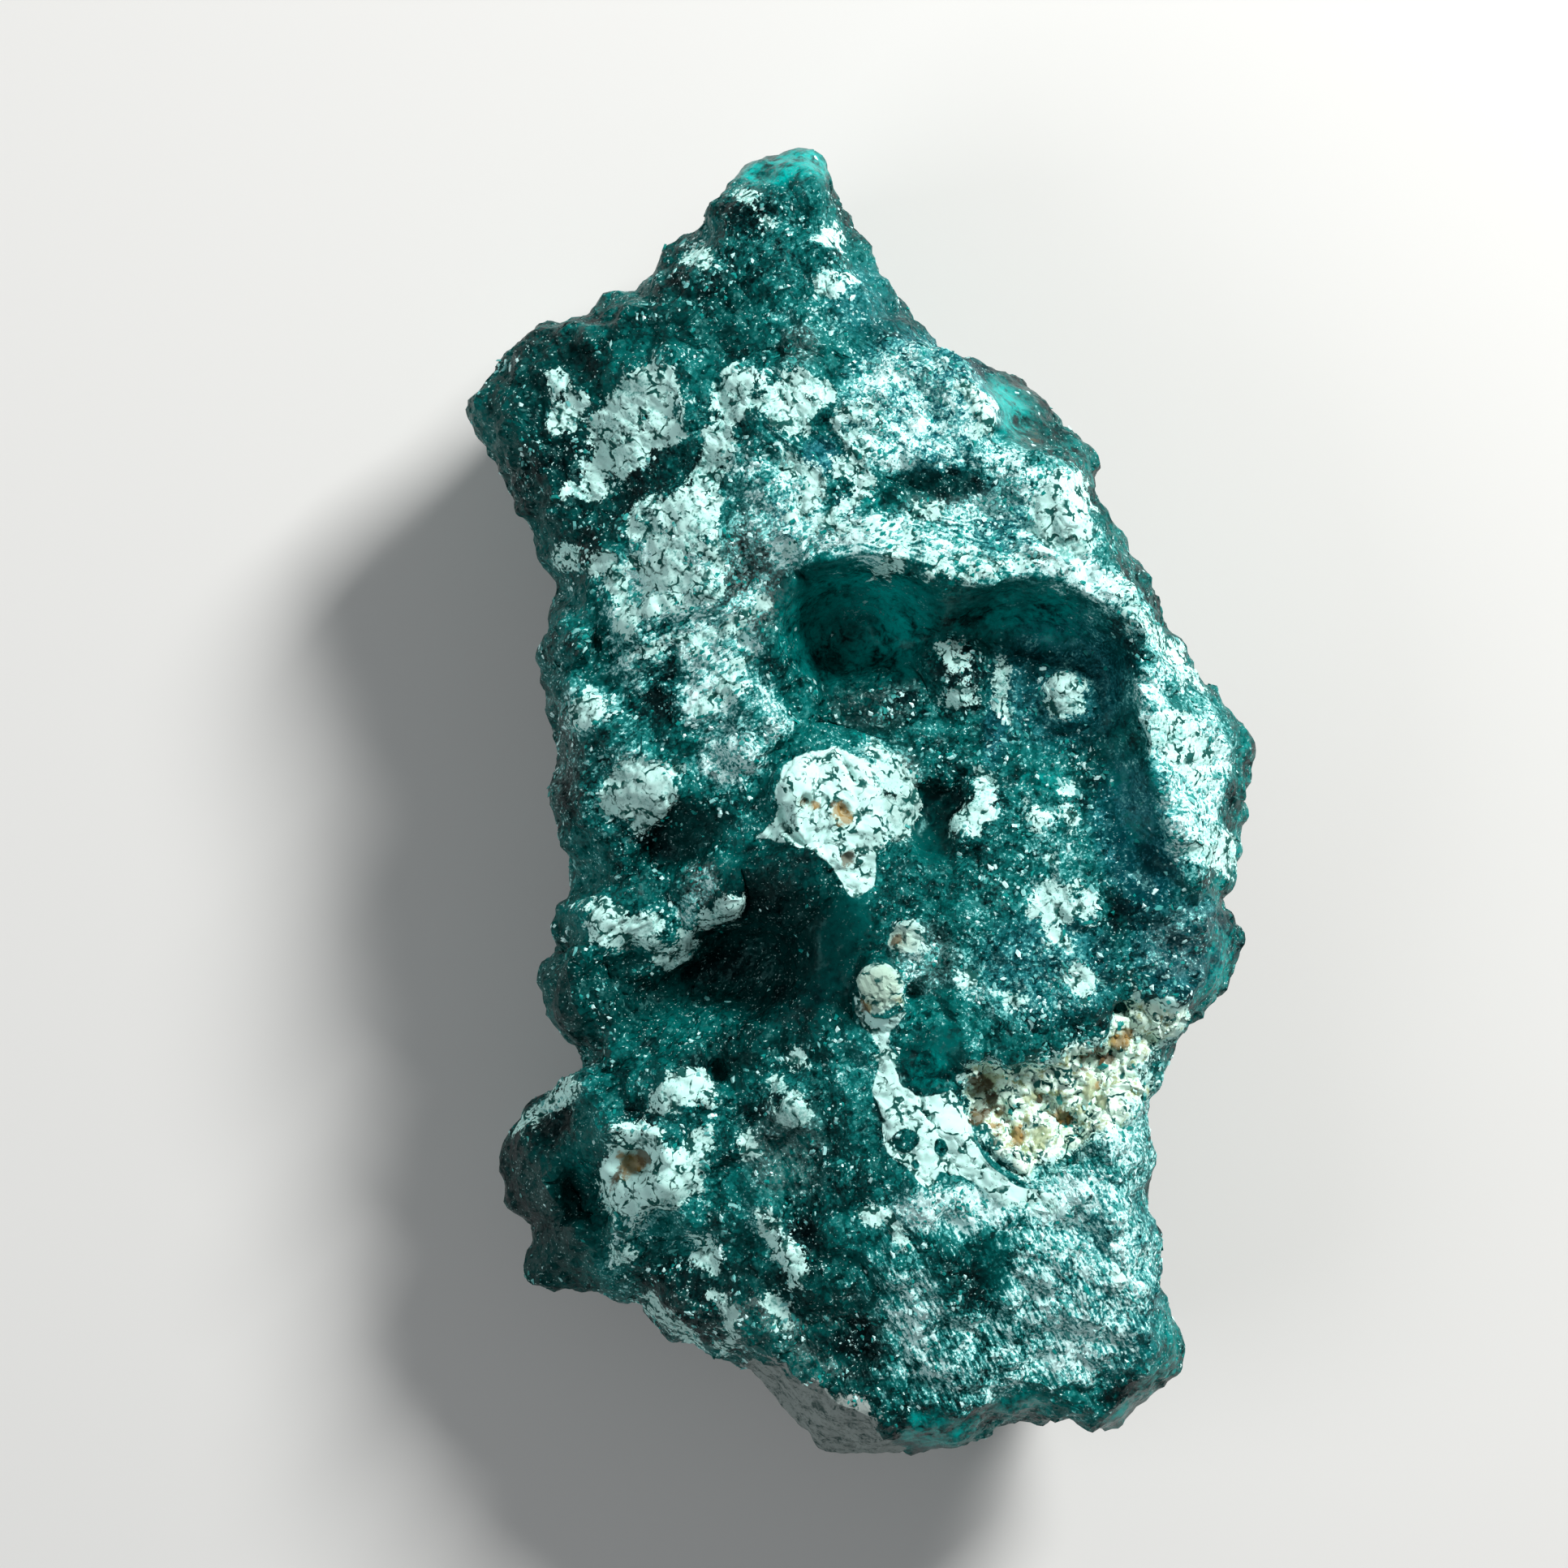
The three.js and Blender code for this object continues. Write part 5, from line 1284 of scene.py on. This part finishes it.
def sparkling_normal(nodes, dull):
    """The surface's normal with a random lean for each small facet, less on glass and on crusts."""
    calm = nodes.math("MAXIMUM", nodes.times(nodes.mask("glass"), GLASS_CALM), dull)
    coarse, fine = (nodes.centred(nodes.cells(size, "Color"), FACET_LEAN) for size in FACET_SIZES)
    lean = nodes.vector("ADD", {0: coarse, 1: fine})
    lean = nodes.vector("SCALE", {0: lean, "Scale": nodes.left(calm)})
    plain = nodes.add("ShaderNodeNewGeometry").outputs["Normal"]
    return nodes.vector("NORMALIZE", {0: nodes.vector("ADD", {0: plain, 1: lean})})


def dioptase_material():
    """Dark green glassy stone under frost, crusts and stains, with painted shade, painted glints and a
    painted glow on the rim.
    """
    material = bpy.data.materials.new("dioptase")
    nodes = Nodes(material)
    nodes.patterns = {name: nodes.noise(*noise) for name, noise in NOISES.items()}
    nodes.patterns["fleck"] = flecks(nodes)
    colour, crust = crusted(nodes, frosted(nodes, stone_colour(nodes)))
    matrix = nodes.rule("matrix")
    grey = nodes.over("speck", MATRIX_DARK, MATRIX_GREY)
    nodes.feed(nodes.shader.inputs["Base Color"], nodes.mix(matrix, stained(nodes, colour), grey))

    dull = nodes.math("MAXIMUM", crust, matrix)
    polish = nodes.blend(nodes.mask("glass"), STONE_ROUGHNESS, GLASS_ROUGHNESS)
    nodes.feed(nodes.shader.inputs["Roughness"], nodes.blend(dull, polish, CRUST_ROUGHNESS))
    nodes.feed(nodes.shader.inputs["Normal"], sparkling_normal(nodes, dull))
    nodes.gloss(LUMP_GLOSS)
    return material


def grain_material():
    """Small crystals, from teal through silver to white, the silver and white painted as glints, and
    stained ones in the vug.
    """
    material = bpy.data.materials.new("dioptase_grains")
    nodes = Nodes(material)
    # The silver and white tones are painted glints of light on the crystals' facets
    colour = nodes.over("silver", HALO, GLINT_FLECK)
    colour = nodes.over("white", colour, GLINT_SPARKLE)
    colour = nodes.over("sugary", colour, SUGAR)
    for name, stain in STAINS.items():
        colour = nodes.mix(nodes.rise(nodes.mask(name), *GRAIN_STAIN_STEP), colour, stain)
    nodes.feed(nodes.shader.inputs["Base Color"], colour)
    nodes.gloss(GRAIN_GLOSS)
    return material


def crystal_shape():
    """The small crystal's corners round an upright long diagonal, and its triangles."""
    up = np.ones(3) / math.sqrt(3)
    side = np.array([1, -1, 0]) / math.sqrt(2)
    own_axes = np.stack([side, np.cross(up, side), up], axis=1)
    triangles = [(a, b, c) for a, b, c, _ in CUBE_SIDES] + [(a, c, d) for a, _, c, d in CUBE_SIDES]
    return CUBE_CORNERS @ own_axes, np.array(triangles)


def grain_weights(shares, areas):
    """How likely a small crystal is to grow on each triangle."""
    clumps = smooth_step(shares["mottle"] + CLUMP_FROST * shares["frost"], *CLUMP_FADE)
    weights = np.maximum(shares["frost"], LEAST_FROST) * clumps
    for name, thinning in GRAIN_THINNING.items():
        weights *= 1 - thinning * shares[name]
    weights *= 1 - smooth_step(shares["solid"], *SOLID_EDGE)
    weights *= 1 - smooth_step(shares["crust"], *OFF_CRUST)
    weights += VUG_GRAINS * shares["vug"]
    weights *= areas * (shares["matrix"] < OFF_MATRIX)
    return weights / weights.sum()


def random_directions(random):
    """A direction for each small crystal, spread evenly over a sphere."""
    return unit(random.normal(size=(GRAIN_COUNT, 3)))


def grain_axes(random, upright, shares):
    """Each small crystal's three half axes in millimetres, and its size."""
    axis = upright + GRAIN_LEAN * random_directions(random) * random.random((GRAIN_COUNT, 1))
    axis = unit(axis)
    along = random_directions(random)
    for name, (turn, *_) in STREAKS.items():
        line = np.array([math.cos(turn), math.sin(turn), 0])
        streaky = shares[name][:, None]
        along = along * (1 - GRAIN_ALIGNED * streaky) + line * streaky
    side = unit(along - axis * np.sum(along * axis, axis=1, keepdims=True))
    sizes = between(*GRAIN_SIZES, random.random(GRAIN_COUNT) ** 2) * (1 + VUG_GROWTH * shares["vug"])
    long = sizes * between(*GRAIN_STRETCH, random.random(GRAIN_COUNT))
    high = sizes * between(GRAIN_HEIGHT, 1, shares["vug"])
    half_axes = [side * long[:, None], np.cross(axis, side) * sizes[:, None], axis * high[:, None]]
    return np.stack(half_axes, axis=1), sizes


def make_grains(points, triangles, masks):
    """Thousands of small crystals on the frosted stone and in the vug, joined in one mesh."""
    random = np.random.default_rng(SEED)
    shape, sides = crystal_shape()
    normals = triangle_normals(points, triangles)
    areas = np.linalg.norm(normals, axis=1)
    shares = {name: values[triangles].mean(axis=1) for name, values in masks.items()}
    chosen = random.choice(len(triangles), GRAIN_COUNT, p=grain_weights(shares, areas))
    shares = {name: values[chosen] for name, values in shares.items()}

    parts = random.dirichlet((1, 1, 1), GRAIN_COUNT)
    places = np.einsum("nk,nkd->nd", parts, points[triangles[chosen]])
    upright = normals[chosen] / areas[chosen, None]
    half_axes, sizes = grain_axes(random, upright, shares)
    corners = np.einsum("kd,nde->nke", shape, half_axes)
    corners += (places - upright * (sizes * GRAIN_SINK)[:, None])[:, None, :]
    corners = corners.reshape(-1, 3)
    corners[:, 2] = np.maximum(corners[:, 2], 0)
    starts = np.arange(GRAIN_COUNT)[:, None, None] * len(shape)
    piece = mesh_object("druse_grains", corners, (sides[None] + starts).reshape(-1, 3))

    looks = {"tone": random.random(GRAIN_COUNT)}
    for name in ("vug", "brown", "ochre", "olive"):
        looks[name] = shares[name] * (random.random(GRAIN_COUNT) > UNSTAINED)
    give_masks(piece, {name: np.repeat(values, len(shape)) for name, values in looks.items()})
    piece.data.polygons.foreach_set("use_smooth", np.zeros(len(piece.data.polygons), bool))
    piece.data.materials.append(grain_material())
    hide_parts(NODE)
    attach(piece, "root")


def make_specimen():
    """The lump and the small crystals on it, which stand for the whole solid."""
    points, triangles, masks = dressed_surface()
    piece = mesh_object("dioptase_lump", points, triangles)
    give_masks(piece, masks)
    flow = piece.data.attributes.new("flow", "FLOAT_VECTOR", "POINT")
    flow.data.foreach_set("vector", (flow_places(wobbled(points)) * MM).ravel())
    piece.data.materials.append(dioptase_material())
    is_smooth = np.maximum(masks["crust"], masks["solid"])[triangles].mean(axis=1) > SMOOTH_CRUST
    is_smooth &= masks["cream"][triangles].mean(axis=1) < SMOOTH_CREAM
    is_smooth |= masks["glass"][triangles].mean(axis=1) > SMOOTH_GLASS
    piece.data.polygons.foreach_set("use_smooth", is_smooth)
    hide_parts(NODE)
    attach(piece, "root")
    make_grains(points, triangles, masks)


def make_floor():
    """A plain pale floor."""
    corners = [(-1, -1, 0), (1, -1, 0), (1, 1, 0), (-1, 1, 0)]
    floor = mesh_object("floor", np.array(corners) * FLOOR_HALF, np.array([(0, 1, 2), (0, 2, 3)]))
    floor.location.z = -FLOOR_DROP * MM
    material = bpy.data.materials.new("floor")
    Nodes(material).gloss({"Base Color": FLOOR_COLOUR, "Roughness": FLOOR_ROUGHNESS})
    floor.data.materials.append(material)


def make_light():
    """Soft, square studio lights, strongest from the upper right, and a pale room."""
    target = Vector(LIGHT_TARGET)
    for name, (place, side, power, colour) in LIGHTS.items():
        data = bpy.data.lights.new(name, "AREA")
        data.size = side * MM
        data.energy = power
        data.color = colour
        light = bpy.data.objects.new(name, data)
        bpy.context.scene.collection.objects.link(light)
        light.location = Vector(place) * MM
        light.rotation_euler = (target - Vector(place)).to_track_quat("-Z", "Y").to_euler()
    world = bpy.data.worlds.new("room")
    world.use_nodes = True
    backdrop = world.node_tree.nodes["Background"]
    backdrop.inputs["Color"].default_value = ROOM_COLOUR
    backdrop.inputs["Strength"].default_value = ROOM_STRENGTH
    bpy.context.scene.world = world
    bpy.context.scene.view_settings.view_transform = "Standard"


def make_camera():
    """Straight above the face, framed as the photograph is."""
    middle = PHOTO_SIDE / 2
    x = (middle - PHOTO_ORIGIN[0]) / PHOTO_SCALE
    y = (PHOTO_ORIGIN[1] - middle) / PHOTO_SCALE
    data = bpy.data.cameras.new("camera")
    data.sensor_width = SENSOR
    data.lens = SENSOR * (CAMERA_HEIGHT - FACE_LEVEL) / (PHOTO_SIDE / PHOTO_SCALE)
    data.clip_start, data.clip_end = (reach * MM for reach in CAMERA_REACH)
    camera = bpy.data.objects.new("camera", data)
    bpy.context.scene.collection.objects.link(camera)
    camera.location = Vector((x, y, CAMERA_HEIGHT)) * MM
    bpy.context.scene.camera = camera


make_specimen()
make_floor()
make_light()
make_camera()
